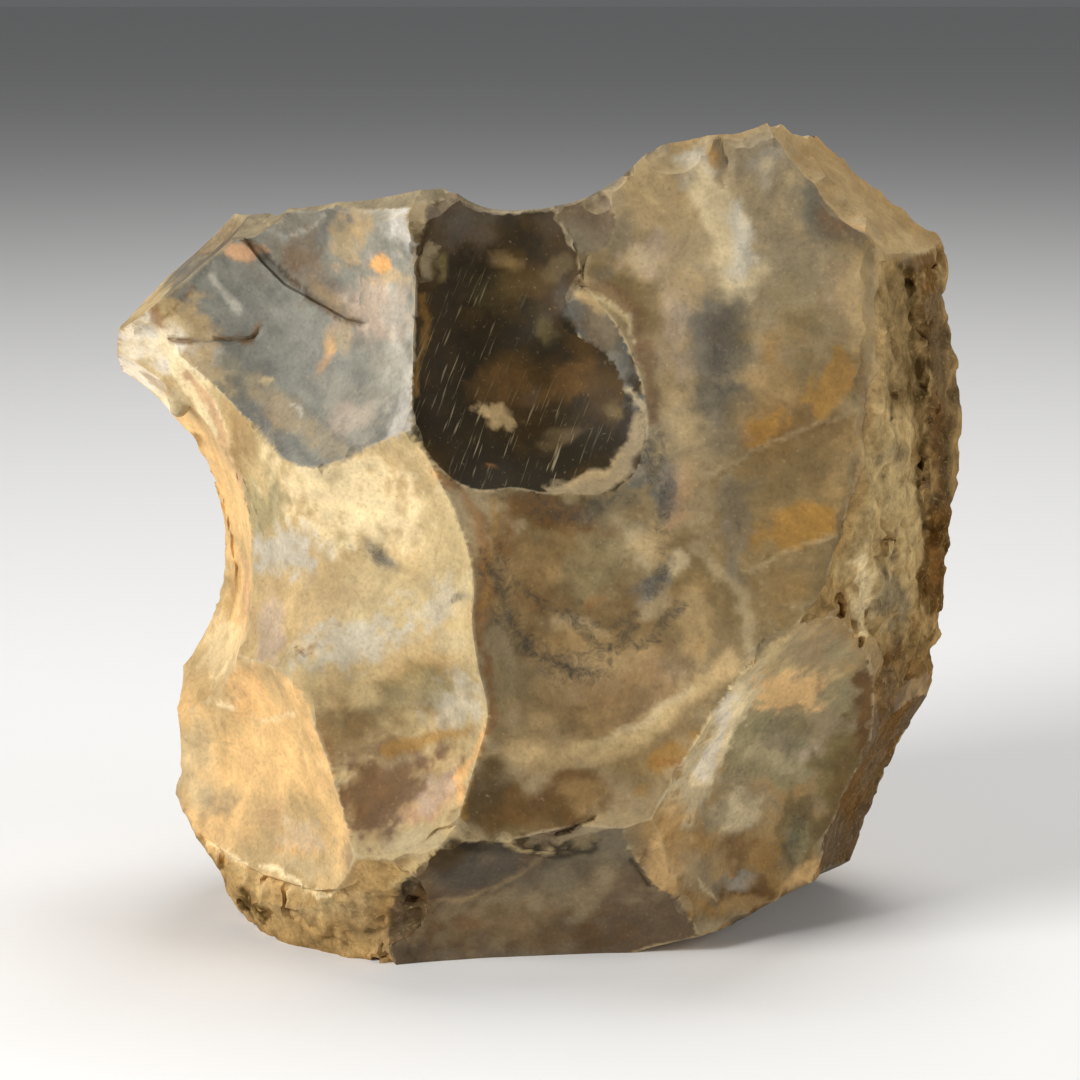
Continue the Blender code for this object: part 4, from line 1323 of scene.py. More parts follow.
        ),
        Patch(Tone.OLIVE, (2.9, 4.4), (8.8, 3.8), -20, 0.6),
        Patch(Tone.UMBER, (2.9, 4.1), (8.2, 2.6), -18, 0.75),
        Patch(Tone.BROWN, (2.9, 3.8), (7.3, 2.3), -18, 0.85),
        Patch(Tone.SLATE, (2.9, 5.1), (10.3, 2.3), -12, 0.35),
        Patch(Tone.BROWN, (2.3, 4.1), (6.5, 2.1), -18, 0.5),
        Patch(Tone.SLATE, (10.3, 5.9), (4.4, 1.8), 25, 0.5),
        Patch(Tone.UMBER, (-10.3, 8.8), (5.9, 2.3), -35, 0.7),
        Patch(Tone.BROWN, (-5.9, -0.7), (3.2, 7.3), -15, 0.5),
        Patch(Tone.TAN, (-2.2, -7.3), (5.3, 5.9), -35, 0.6),
        Patch(Tone.PUTTY, (13.2, 0.7), (5.9, 5.0), 0, 0.45, 0.68),
        Patch(Tone.MOSS, (9.5, -3.2), (6.5, 5.0), 0, 0.4, 0.68),
        Patch(Tone.DRAB, (10.0, -2.9), (4.4, 3.2), 0, 0.3, 0.68),
        Patch(Tone.BONE, (14.1, -0.7), (1.8, 4.4), 20, 0.45),
        Patch(Tone.BONE, (6.6, -12.9), (5.0, 1.3), -12, 0.4),
        Patch(Tone.BONE, (16.4, -8.8), (2.3, 2.9), -35, 0.4),
        Patch(Tone.BROWN, (-1.5, -7.6), (2.6, 2.9), -20, 0.4),
        Patch(Tone.BONE, (19.9, -4.1), (1.8, 2.3), 0, 0.7, 0.52),
        Patch(Tone.SAND, (16.4, -0.7), (2.9, 3.8), 0, 0.6),
        Patch(Tone.PINK, (20.5, 5.9), (2.6, 4.4), 0, 0.4),
        Patch(Tone.SHADOW_BLUE, (18.5, 7.0), (2.3, 4.4), 0, 0.75, 0.52),
        Patch(Tone.SHADOW_BLUE, (16.4, -6.2), (2.3, 3.8), -35, 0.7, 0.52),
        Patch(Tone.SHADOW_BLUE, (2.9, 10.3), (2.1, 1.5), 0, 0.5),
        Patch(Tone.TAN, (8.8, -17.3), (10.3, 5.0), 0, 0.6),
        Patch(Tone.SAND, (9.1, -17.9), (6.7, 2.3), 5, 0.45),
        Patch(Tone.SAND, (22.3, -11.4), (2.9, 3.8), 0, 0.35),
        Patch(Tone.RUST, (8.1, -9.1), (1.2, 0.7), 0, 0.4),
        Patch(Tone.PLUM, (14.7, -23.5), (10.3, 5.9), 15, 0.45, 0.68),
        Patch(Tone.PUTTY, (-5.9, -17.6), (2.1, 7.3), 0, 0.75, 0.52),
        Patch(Tone.OLIVE, (-5.1, -20.5), (2.6, 6.5), 0, 0.4),
        # painted light: the pale band along the swell below the hollow, where the swell faces the key light
        Streak(
            Tone.SAND,
            (
                (-2.9, -31.1), (7.8, -31.7), (12.5, -29.3),
                (17.6, -26.0), (22.7, -22.0), (27.9, -18.3),
            ),
            1.9, 0.75,
        ),
        Streak(Tone.BUTTER, ((4.4, -31.1), (12.5, -29.0), (17.6, -26.0), (22.7, -22.0)), 0.9, 0.4),
        Streak(Tone.BONE, ((8.8, -29.3), (16.1, -25.7), (22.0, -22.0)), 0.7, 0.5),
        Patch(Tone.OCHRE, (19.4, -31.1), (4.4, 2.1), 25, 0.7, 0.52),
        Patch(Tone.RUST, (18.2, -32.6), (2.6, 0.7), -10, 0.6, 0.52),
        Patch(Tone.UMBER, (-6.6, -38.1), (7.0, 5.6), -20, 0.85),
        Patch(Tone.BROWN, (2.9, -38.1), (9.7, 4.1), 10, 0.85),
        Patch(Tone.UMBER, (2.3, -38.6), (7.3, 2.6), 10, 0.5),
        Patch(Tone.TAN, (7.3, -36.7), (4.4, 2.1), 20, 0.5),
        Patch(Tone.OCHRE, (14.7, -36.7), (2.1, 1.2), 30, 0.5),
        Streak(Tone.OCHRE, ((-7.0, 5.9), (-7.3, -2.9), (-8.2, -8.8)), 0.6, 0.4),
        Streak(Tone.OCHRE, ((-7.9, -28.6), (-11.4, -34.5), (-10.6, -40.3)), 0.6, 0.75, 0.52),
    ),
    "lower_right": (
        Patch(Tone.BUTTER, (33.7, -19.1), (7.3, 4.4), 20, 0.7),
        Patch(Tone.HONEY, (37.4, -22.0), (7.3, 3.5), 10, 0.85, 0.26),
        Patch(Tone.PUTTY, (41.1, -16.1), (5.9, 3.5), 0, 0.7),
        Patch(Tone.MOSS, (44.7, -22.0), (3.8, 5.3), 0, 0.7),
        Patch(Tone.BROWN, (49.0, -26.4), (3.8, 12.6), -10, 0.95, 0.26),
        Patch(Tone.UMBER, (49.9, -27.1), (2.6, 11.7), -10, 0.7, 0.38),
        Patch(Tone.BROWN, (48.1, -28.6), (3.8, 11.1), -10, 0.6, 0.52),
        Patch(Tone.BROWN, (29.3, -53.5), (8.8, 2.1), 15, 0.5),
        Patch(Tone.BROWN, (49.9, -29.3), (2.3, 11.7), -12, 0.5),
        Patch(Tone.MOSS, (33.7, -31.1), (8.5, 6.7), 10, 0.85, 0.19),
        Patch(Tone.BONE, (34.9, -30.8), (4.4, 3.2), 10, 0.4, 0.45),
        Patch(Tone.GREY, (37.0, -28.2), (3.8, 2.6), 0, 0.55, 0.26),
        Patch(Tone.OLIVE, (38.1, -27.1), (3.5, 1.8), 0, 0.5),
        Patch(Tone.LILAC, (39.9, -31.1), (2.3, 1.8), 0, 0.6, 0.52),
        Patch(Tone.BONE, (36.7, -33.7), (2.3, 1.8), 0, 0.35),
        Patch(Tone.OLIVE, (43.1, -35.5), (3.5, 9.1), -10, 0.9, 0.3),
        Patch(Tone.BROWN, (44.3, -36.7), (2.1, 7.3), -10, 0.5, 0.45),
        Streak(
            Tone.BONE,
            (
                (30.5, -17.6), (28.6, -23.5), (25.2, -30.1),
                (22.0, -36.7), (20.5, -39.9),
            ),
            2.6, 0.95, 0.26,
        ),
        Streak(Tone.CREAM, ((29.3, -22.0), (26.7, -27.9), (23.5, -34.5)), 1.6, 0.8, 0.38),
        Streak(Tone.FROST, ((27.9, -23.5), (25.2, -29.6), (23.2, -34.5)), 0.9, 0.5, 0.52),
        Patch(Tone.PUTTY, (29.0, -38.4), (5.0, 5.0), 20, 0.8, 0.45),
        Patch(Tone.BONE, (29.0, -39.9), (4.4, 2.9), 20, 0.85, 0.38),
        Patch(Tone.CREAM, (29.6, -39.9), (3.5, 2.3), 20, 0.5),
        Patch(Tone.GREY, (25.7, -40.3), (3.5, 2.3), 30, 0.4),
        Patch(Tone.HONEY, (19.4, -45.5), (3.8, 5.9), -10, 0.8, 0.52),
        Patch(Tone.BROWN, (19.9, -45.8), (2.6, 3.8), -10, 0.4),
        Patch(Tone.OCHRE, (18.8, -42.5), (2.3, 4.4), -20, 0.5),
        Patch(Tone.BROWN, (29.3, -45.8), (3.8, 2.9), 0, 0.7, 0.38),
        Patch(Tone.OCHRE, (22.0, -52.8), (5.9, 1.8), -10, 0.6),
        Patch(Tone.GREY, (28.6, -50.6), (5.3, 2.1), 30, 0.85, 0.3),
        Patch(Tone.BROWN, (29.0, -51.5), (5.3, 1.9), 20, 0.8, 0.45),
        Patch(Tone.UMBER, (29.6, -51.6), (3.5, 1.3), 20, 0.4),
        Patch(Tone.ICE, (29.6, -49.9), (2.6, 1.5), 45, 0.5),
        Patch(Tone.DRAB, (37.7, -42.5), (2.8, 6.3), -4, 0.85, 0.19),
        Patch(Tone.MOSS, (37.8, -43.4), (1.9, 4.1), -4, 0.75, 0.38),
        Patch(Tone.SLATE, (36.7, -45.5), (1.3, 3.2), -4, 0.3, 0.45),
        Patch(Tone.OLIVE, (38.1, -40.3), (1.5, 2.9), -4, 0.35),
        Patch(Tone.OCHRE, (33.7, -47.7), (2.3, 3.8), -20, 0.55),
        Patch(Tone.HONEY, (39.6, -50.6), (3.8, 2.6), 30, 0.7),
        Patch(Tone.BROWN, (33.0, -52.1), (2.6, 1.8), 20, 0.8, 0.52),
        Patch(Tone.TAN, (30.8, -53.5), (3.8, 1.5), 0, 0.7, 0.52),
        Patch(Tone.OCHRE, (23.5, -44.0), (1.5, 2.9), 0, 0.4),
        Patch(Tone.GREY, (23.5, -48.4), (1.8, 2.9), 20, 0.5),
        Streak(Tone.BONE, ((23.0, -49.6), (24.2, -51.3), (26.1, -52.8)), 0.3, 0.7, 0.45),
        Streak(
            Tone.BUTTER,
            (
                (9.4, -42.8), (16.1, -37.4), (22.0, -30.1),
                (28.6, -19.8), (33.7, -16.1),
            ),
            0.6, 0.5, 0.45,
        ),
    ),
    "lower_right_heel": (
        Patch(Tone.SHADOW_BLUE, (10.6, -44.9), (2.6, 4.7), 0, 0.3),
        Patch(Tone.BONE, (10.6, -46.9), (2.6, 3.5), 0, 0.85),
        Patch(Tone.FROST, (10.6, -47.2), (1.8, 2.3), 0, 0.5),
        Patch(Tone.GREY, (12.5, -43.3), (3.2, 3.5), 0, 0.5),
        Patch(Tone.BUTTER, (12.9, -48.8), (1.5, 2.6), -35, 0.8, 0.45),
        Streak(Tone.BROWN, ((12.3, -51.0), (14.1, -48.4), (15.8, -45.5)), 0.3, 0.7, 0.45),
        Patch(Tone.HONEY, (18.8, -47.2), (3.5, 5.9), 0, 0.8, 0.52),
        Patch(Tone.OCHRE, (22.0, -52.8), (4.4, 1.8), -10, 0.5),
    ),
    "right_foot": (
        Patch(Tone.DUSK, (50.6, -36.7), (3.2, 7.3), 0, 0.6, 0.68),
        Patch(Tone.DRAB, (49.9, -38.1), (2.9, 5.9), 0, 0.4, 0.68),
        Patch(Tone.HONEY, (41.1, -51.3), (4.4, 2.3), 25, 0.4),
    ),
    "front_foot": (
        # painted shadow: dark band and patches under the crumbly ledge, where its overhang casts shade
        Streak(
            Tone.TREACLE,
            (
                (-19.4, -48.1), (-13.2, -45.5), (-5.9, -44.3),
                (1.5, -45.5), (7.3, -44.9),
            ),
            1.5, 0.8, 0.45,
        ),
        Patch(Tone.TREACLE, (-13.9, -45.5), (6.5, 3.2), 5, 0.5),
        Patch(Tone.UMBER, (-13.9, -46.2), (5.0, 2.3), 5, 0.8),
        Patch(Tone.PUTTY, (1.5, -53.2), (14.7, 4.4), 8, 0.75, 0.68),
        Patch(Tone.PUTTY, (-9.5, -56.9), (9.7, 3.8), 0, 0.6, 0.68),
        Patch(Tone.SLATE, (-8.8, -48.4), (8.8, 2.9), 10, 0.5),
        Patch(Tone.GREY, (0.0, -49.9), (7.3, 2.9), 0, 0.6),
        Patch(Tone.PUTTY, (6.6, -44.0), (3.8, 1.8), 10, 0.7, 0.52),
        Patch(Tone.BROWN, (-2.9, -57.2), (14.7, 3.5), 0, 0.5),
        Patch(Tone.RUST, (-11.0, -56.6), (2.9, 1.0), 0, 0.35),
        Streak(Tone.SAND, ((-15.5, -53.8), (-9.8, -52.8), (-4.1, -49.7), (-0.1, -47.1)), 0.4, 0.35),
        Streak(
            Tone.BUTTER,
            (
                (-24.9, -47.2), (-20.5, -45.5), (-14.7, -41.9),
                (-6.6, -44.0), (1.5, -45.5),
            ),
            0.9, 0.75, 0.45,
        ),
        Streak(Tone.BONE, ((2.9, -43.7), (7.3, -42.2), (10.6, -41.4)), 0.6, 0.4, 0.52),
        # painted shadow along the ledge's undercut
        Streak(
            Tone.TREACLE,
            (
                (-12.5, -45.5), (-9.1, -44.3), (-5.9, -43.7),
                (-2.9, -43.9), (0.7, -44.3),
            ),
            0.7, 0.95, 0.38,
        ),
        Patch(Tone.BROWN, (-16.9, -53.5), (2.3, 6.5), 0, 0.5),
        # painted shadow under the ledge
        Patch(Tone.UMBER, (-13.8, -46.3), (3.5, 1.8), 0, 0.6),
        Streak(Tone.UMBER, ((-7.6, -43.7), (-4.1, -43.7), (-1.5, -44.0)), 0.9, 0.8, 0.45),
    ),
    "rind": (
        Patch(Tone.CREAM, (-55.7, 34.5), (7.3, 7.3), 0, 0.8, 0.52),
        Patch(Tone.BONE, (-58.7, 30.8), (4.4, 4.4), 0, 0.5, 0.52),
        Patch(Tone.SAND, (52.8, 30.8), (8.8, 16.1), 0, 0.7, 0.68),
        Patch(Tone.BUTTER, (50.6, -2.9), (5.9, 13.2), 0, 0.6, 0.68),
        Patch(Tone.BUTTER, (51.3, 8.8), (3.8, 13.2), 0, 0.55),
        Streak(Tone.TAN, ((58.7, 32.3), (59.0, 20.5), (59.0, 8.8), (58.1, -2.9)), 1.0, 0.45),
        Patch(Tone.BROWN, (53.5, 35.2), (1.5, 8.8), 0, 0.4),
        Patch(Tone.UMBER, (53.2, 21.3), (2.6, 2.3), 0, 0.6),
        Patch(Tone.TAN, (49.9, 0.0), (3.5, 7.3), 0, 0.5),
        Patch(Tone.GREY, (51.3, -8.8), (2.9, 5.0), 0, 0.75, 0.52),
        Patch(Tone.GREY, (51.6, 12.5), (2.1, 2.1), 0, 0.5),
        Patch(Tone.CREAM, (47.2, -7.3), (1.8, 6.7), -8, 0.7, 0.52),
        # painted shade: a dark band down the recessed channel in the rind, over the crack's own brown
        Streak(
            Tone.UMBER,
            (
                (54.0, 40.8), (54.7, 32.3), (55.1, 22.0), (56.0, 14.7),
                (55.7, 5.9), (56.3, -2.9), (56.6, -10.6),
            ),
            0.7, 0.7, 0.52,
        ),
        Streak(
            Tone.BROWN,
            (
                (56.5, 40.8), (58.1, 30.8), (59.1, 17.6),
                (59.3, 5.9), (58.1, -8.8),
            ),
            2.2, 0.95, 0.45,
        ),
        Patch(Tone.DRAB, (52.8, 32.3), (2.6, 8.8), 0, 0.5),
        Streak(Tone.UMBER, ((59.0, 35.2), (59.8, 20.5), (60.1, 5.9)), 1.2, 0.3),
        Streak(Tone.GREY, ((58.4, 35.2), (59.3, 20.5), (59.3, 5.9)), 2.1, 0.4),
        Streak(Tone.RUST, ((57.8, 21.3), (58.4, 11.7), (58.7, 2.9), (57.8, -5.9)), 0.7, 0.3),
        Streak(Tone.UMBER, ((58.8, 17.6), (59.4, 8.8), (59.1, 0.0)), 1.3, 0.4),
        Streak(Tone.TAN, ((59.4, 35.2), (60.3, 17.6), (60.9, 5.9), (59.8, -5.9)), 0.6, 0.4),
        Patch(Tone.BROWN, (55.7, -17.6), (2.6, 5.9), 10, 0.6),
        Patch(Tone.BROWN, (50.2, -26.7), (3.2, 11.1), -10, 0.95, 0.38),
        Patch(Tone.DUSK, (50.2, -27.0), (2.6, 10.3), -10, 0.6, 0.45),
        Patch(Tone.BUTTER, (-35.2, -52.1), (8.8, 2.1), -12, 0.5),
        Patch(Tone.PUTTY, (-30.8, -54.6), (10.3, 3.8), -12, 0.35),
        Patch(Tone.BROWN, (-23.5, -55.7), (5.9, 3.5), 0, 0.4, 0.68),
        Streak(
            Tone.UMBER,
            (
                (-40.8, -48.1), (-44.6, -50.5),
                (-43.1, -53.5), (-40.8, -55.3),
            ),
            0.6, 0.9, 0.45,
        ),
        Streak(Tone.BUTTER, ((-21.3, -50.5), (-17.6, -46.9), (-14.7, -42.5)), 1.0, 0.6, 0.52),
    ),
}

# Dark wisps: where they lie thick enough to show.
WISPS = (
    Streak(
        Tone.SLATE,
        (
            (-7.3, -2.9), (-5.9, -7.3), (-5.6, -10.6), (-3.2, -13.6),
            (0.1, -16.6), (3.5, -18.8), (6.6, -19.1), (8.9, -17.6),
        ),
        4.4, 0.62, 0.68,
    ),
    Streak(
        Tone.SLATE,
        (
            (-7.6, -2.9), (-5.9, -7.6), (-4.4, -12.0),
            (0.0, -16.9), (4.7, -19.5), (7.6, -19.1),
        ),
        1.3, 0.72, 0.68,
    ),
    Streak(
        Tone.SLATE,
        (
            (3.8, -10.9), (5.6, -13.6), (7.6, -15.0),
            (9.5, -15.8), (11.6, -15.3), (13.9, -12.9),
        ),
        2.1, 0.68, 0.68,
    ),
    Streak(
        Tone.SLATE,
        (
            (-2.9, -6.6), (1.2, -10.0), (5.9, -12.0),
            (10.6, -12.6), (14.7, -10.6),
        ),
        1.3, 0.6, 0.71,
    ),
    Streak(Tone.SLATE, ((14.7, -15.8), (16.9, -15.0), (19.4, -11.7), (20.5, -10.0)), 2.1, 0.68, 0.68),
    Patch(Tone.SLATE, (16.9, -5.6), (3.5, 5.3), -35, 0.68, 0.71),
    Patch(Tone.SLATE, (18.8, 6.2), (2.9, 6.5), -5, 0.7, 0.71),
    Patch(Tone.SLATE, (17.6, 0.0), (2.6, 5.9), -5, 0.6, 0.71),
    Patch(Tone.SLATE, (11.4, -2.9), (8.8, 6.5), 0, 0.5, 0.71),
    Patch(Tone.SLATE, (16.9, 12.5), (2.9, 6.7), 0, 0.66, 0.71),
    Patch(Tone.SLATE, (14.7, 16.9), (1.5, 4.4), 10, 0.6, 0.71),
    Streak(
        Tone.SLATE,
        (
            (-6.9, 0.6), (-4.8, -2.8), (-3.2, -7.2),
            (0.4, -9.5), (3.8, -10.9),
        ),
        1.3, 0.62, 0.71,
    ),
    Patch(Tone.SLATE, (-23.8, -2.3), (3.5, 2.1), -50, 0.66, 0.71),
    Patch(Tone.SLATE, (-27.9, 0.0), (2.1, 1.2), -50, 0.55, 0.71),
    Patch(Tone.SLATE, (-12.0, -8.5), (2.3, 1.3), 10, 0.62, 0.71),
    Patch(Tone.SLATE, (2.9, 4.1), (10.9, 3.8), -10, 0.6, 0.71),
    Patch(Tone.SLATE, (9.5, 5.9), (5.9, 2.3), 25, 0.6, 0.71),
    Patch(Tone.SLATE, (7.3, -7.3), (8.8, 4.4), 0, 0.5, 0.71),
    Patch(Tone.SLATE, (26.4, -44.0), (5.9, 5.9), 0, 0.5, 0.71),
    Patch(Tone.SLATE, (28.6, -35.2), (5.0, 5.0), 0, 0.52, 0.71),
    Patch(Tone.SLATE, (37.7, -42.8), (2.9, 6.7), -4, 0.6, 0.71),
    Patch(Tone.SLATE, (26.4, 24.9), (4.4, 8.8), 0, 0.55, 0.71),
    Patch(Tone.SLATE, (29.3, 2.9), (2.1, 8.8), 0, 0.5, 0.71),
    Patch(Tone.SLATE, (44.0, 48.4), (4.4, 3.8), -40, 0.52, 0.71),
    Patch(Tone.SLATE, (-42.5, 36.7), (4.4, 4.4), 0, 0.5, 0.71),
)

# Where the rind still covers the lower edge of the left foot.
RIND_SPREAD = Streak(
    Tone.TAN,
    ((-52.8, -47.2), (-47.7, -50.6), (-42.5, -53.5), (-33.7, -56.3), (-27.9, -56.3), (-21.3, -53.5)),
    5.0, 1.0, 0.1,
)

# Thick of the fine pale scratches in the dark hollow.
SCRATCHED = (
    Patch(Tone.BONE, (-14.0, 22.0), (7.0, 12.0), -15, 1.0, 0.8),
    Patch(Tone.BONE, (-3.0, 14.0), (12.0, 9.0), 0, 0.9, 0.9),
    Patch(Tone.BONE, (2.5, 12.0), (5.0, 9.0), -15, 0.8, 0.8),
    Patch(Tone.BONE, (-11.0, 34.0), (9.0, 8.0), 0, 0.5, 0.9),
)

# The two tones that cloud into each other over each scar.
COATS = {
    "platform_left": (Tone.PUTTY, Tone.GREY),
    "platform_dip": (Tone.GREY, Tone.DUSK),
    "platform_tip": (Tone.PUTTY, Tone.GREY),
    "lobe_shoulder": (Tone.PUTTY, Tone.BONE),
    "lobe_top": (Tone.PUTTY, Tone.TAN),
    "lobe_back": (Tone.TAN, Tone.PUTTY),
    "lobe_right_bevel": (Tone.SAND, Tone.TAN),
    "right_face": (Tone.PUTTY, Tone.DRAB),
    "dark_hollow": (Tone.TREACLE, Tone.UMBER),
    "dark_hollow_top": (Tone.DUSK, Tone.GREY),
    "upper_left": (Tone.SHADOW_BLUE, Tone.BLUE_GREY),
    "left_face": (Tone.STRAW, Tone.SAND),
    "tip_undercut": (Tone.CREAM, Tone.BUTTER),
    "left_waist": (Tone.HONEY, Tone.SAND),
    "left_foot": (Tone.HONEY, Tone.SAND),
    "lobe_edge_chip": (Tone.UMBER, Tone.TREACLE),
    "lower_right": (Tone.TAN, Tone.PUTTY),
    "lower_right_heel": (Tone.TAN, Tone.GREY),
    "right_foot": (Tone.BROWN, Tone.DUSK),
    "front_foot": (Tone.GREY, Tone.DUSK),
    "underside_right": (Tone.BROWN, Tone.GREY),
    "underside_front": (Tone.BROWN, Tone.TAN),
    "underside_left": (Tone.TAN, Tone.BROWN),
    "underside_back": (Tone.BROWN, Tone.TAN),
    "back_left_waist": (Tone.HONEY, Tone.TAN),
    "back_left_foot": (Tone.HONEY, Tone.SAND),
    "back_upper_right": (Tone.PUTTY, Tone.GREY),
    "back_lower_left": (Tone.TAN, Tone.SAND),
    "back_right": (Tone.GREY, Tone.TAN),
    "back_upper_left": (Tone.MILK, Tone.SAND),
    "back_middle": (Tone.SAND, Tone.PUTTY),
}


@dataclass
class StonePaint:
    """Lays the flint's colours, and the masks that its finish reads, on the points of the mesh.

    Stains drift by wander millimetres, and their edges ripple by fray, with one of the ripples
    (a seed and a size in millimetres) after another.
    """

    shape: StoneShape
    mesh: bpy.types.Mesh
    wander: float = 0.9
    fray: float = 0.55
    ripples: tuple[tuple[int, float], ...] = ((321, 3.2), (351, 2.0), (361, 1.4))
    mottle_change: float = 0.10
    cloud_change: float = 0.06
    hackle_change: float = 0.10
    weathered_break: float = 0.6

    def lay(self) -> None:
        """Work out every colour and mask, and store them on the mesh."""
        points = self.read("co") / MM - STANDING_SHIFT
        points = points.astype(np.float32)
        normals = self.read("normal")
        _, lead, skin_lead, owner = self.shape.layers(points)
        seen = ease(normals @ -BOARD.ray((0.0, 0.0)), -0.02, 0.2)
        spots = BOARD.place(points)
        rind = self.shape.rind_lead(points, spots, skin_lead)
        warp = np.stack([Noise(seed, 5.0, 4).at(points) for seed in (301, 311)], axis=1)
        spots = spots + self.wander * warp
        ripples = [self.fray * Noise(seed, size, 4).at(points) for seed, size in self.ripples]
        colours = self.coat(points, owner)
        names = list(SCARS)
        for name, stains in STAINS.items():
            number = names.index(name) if name in names else -1
            rows = np.flatnonzero((owner == number) & (seen > 0.0))
            for turn, stain in enumerate(stains):
                cover = stain.cover(spots[rows], ripples[turn % len(ripples)][rows]) * seen[rows]
                colours[rows] += (linear(stain.tone.value) - colours[rows]) * cover[:, None]
        hackles = FAN.height(BOARD.place(points)) * seen * (owner == names.index("left_waist"))
        marble = 1.0 + self.mottle_change * Noise(341, 2.4, 4).at(points)
        marble = marble + self.cloud_change * Noise(371, 7.0, 3).at(points) + self.hackle_change * hackles
        self.store_colour("stone_colour", colours * marble[:, None])
        self.store("wisps", self.thickest(WISPS, spots) * seen)
        scratched = self.thickest(SCRATCHED, spots) * seen * (owner == names.index("dark_hollow"))
        self.store("scratches", scratched)
        # The old break under the right side has weathered as dull as the rind.
        self.store("rind", np.where(owner == names.index("right_foot"), self.weathered_break, rind))
        # distance to the arrises, where the finish lays its painted highlights and pale edge wear
        self.store("arris", self.arris_gap(points, lead))

    def read(self, name: str) -> np.ndarray:
        """One vector of every mesh point."""
        values = np.empty(len(self.mesh.vertices) * 3)
        self.mesh.vertices.foreach_get(name, values)
        return values.reshape(-1, 3)

    def coat(self, points: np.ndarray, owner: np.ndarray) -> np.ndarray:
        """Ground colour of each point: its scar's two tones in soft clouds.

        Args:
            points: the points, in millimetres.
            owner: the number of the scar each point lies on.

        Returns:
            One linear colour for each point.
        """
        clouds = ease(Noise(331, 11.0, 3).at(points), -0.5, 0.5)[:, None]
        colours = np.tile(linear(Tone.TAN.value), (len(points), 1))
        for number, name in enumerate(SCARS):
            rows = owner == number
            first, second = (linear(tone.value) for tone in COATS[name])
            colours[rows] = first + (second - first) * clouds[rows]
        return colours

    def thickest(self, stains: Iterable[Patch | Streak], spots: np.ndarray) -> np.ndarray:
        """Strongest cover of several stains at each spot.

        Args:
            stains: the stains.
            spots: places on the board.

        Returns:
            The cover at each spot.
        """
        cover = np.zeros(len(spots))
        for stain in stains:
            cover = np.maximum(cover, stain.cover(spots))
        return cover

    def arris_gap(self, points: np.ndarray, lead: np.ndarray) -> np.ndarray:
        """Distance to the nearest sharp arris in millimetres; chipped edges count as arrises.

        Args:
            points: the points, in millimetres.
            lead: how far the second deepest cut lies behind the deepest.

        Returns:
            One distance for each point.
        """
        reach = 0.25
        sides = [self.shape.layers(points + reach * np.eye(3, dtype=np.float32)[i])[1] for i in range(3)]
        steepness = np.linalg.norm((np.stack(sides, axis=1) - lead[:, None]) / reach, axis=1)
        gap = lead / np.maximum(steepness, 0.05)
        gap = gap + 3.0 * (1.0 - ease(steepness, 0.25, 0.6))
        chipped = np.full(len(points), -9.0, np.float32)
        self.shape.chip_away(points, chipped)
        return np.where(chipped > -0.06, np.minimum(gap, 0.25), gap)

    def store(self, name: str, values: np.ndarray) -> None:
        """Put one number on each mesh point."""
        layer = self.mesh.attributes.new(name, "FLOAT", "POINT")
        layer.data.foreach_set("value", values.astype(np.float32))

    def store_colour(self, name: str, colours: np.ndarray) -> None:
        """Put one linear colour on each mesh point."""
        layer = self.mesh.attributes.new(name, "FLOAT_COLOR", "POINT")
        solid = np.concatenate([colours, np.ones((len(colours), 1))], axis=1)
        layer.data.foreach_set("color", solid.astype(np.float32).ravel())


Setting = float | int | str | bool | tuple[float, ...]


def add_node(
    tree: bpy.types.NodeTree,
    kind: str,
    inputs: dict[str | int, "Setting | bpy.types.NodeSocket"] | None = None,
    **settings: Setting,
) -> bpy.types.Node:
    """Add a shader node with its settings, its input values and its links.

    Args:
        tree: the material's node tree.
        kind: the node's type name.
        inputs: a value, or another node's output to link, for each named or numbered input.
        settings: the node's own properties.

    Returns:
        The new node.
    """
    node = tree.nodes.new(kind)
    for name, value in settings.items():
        setattr(node, name, value)
    for name, value in (inputs or {}).items():
        if isinstance(value, bpy.types.NodeSocket):
            tree.links.new(value, node.inputs[name])
        else:
            node.inputs[name].default_value = value
    return node


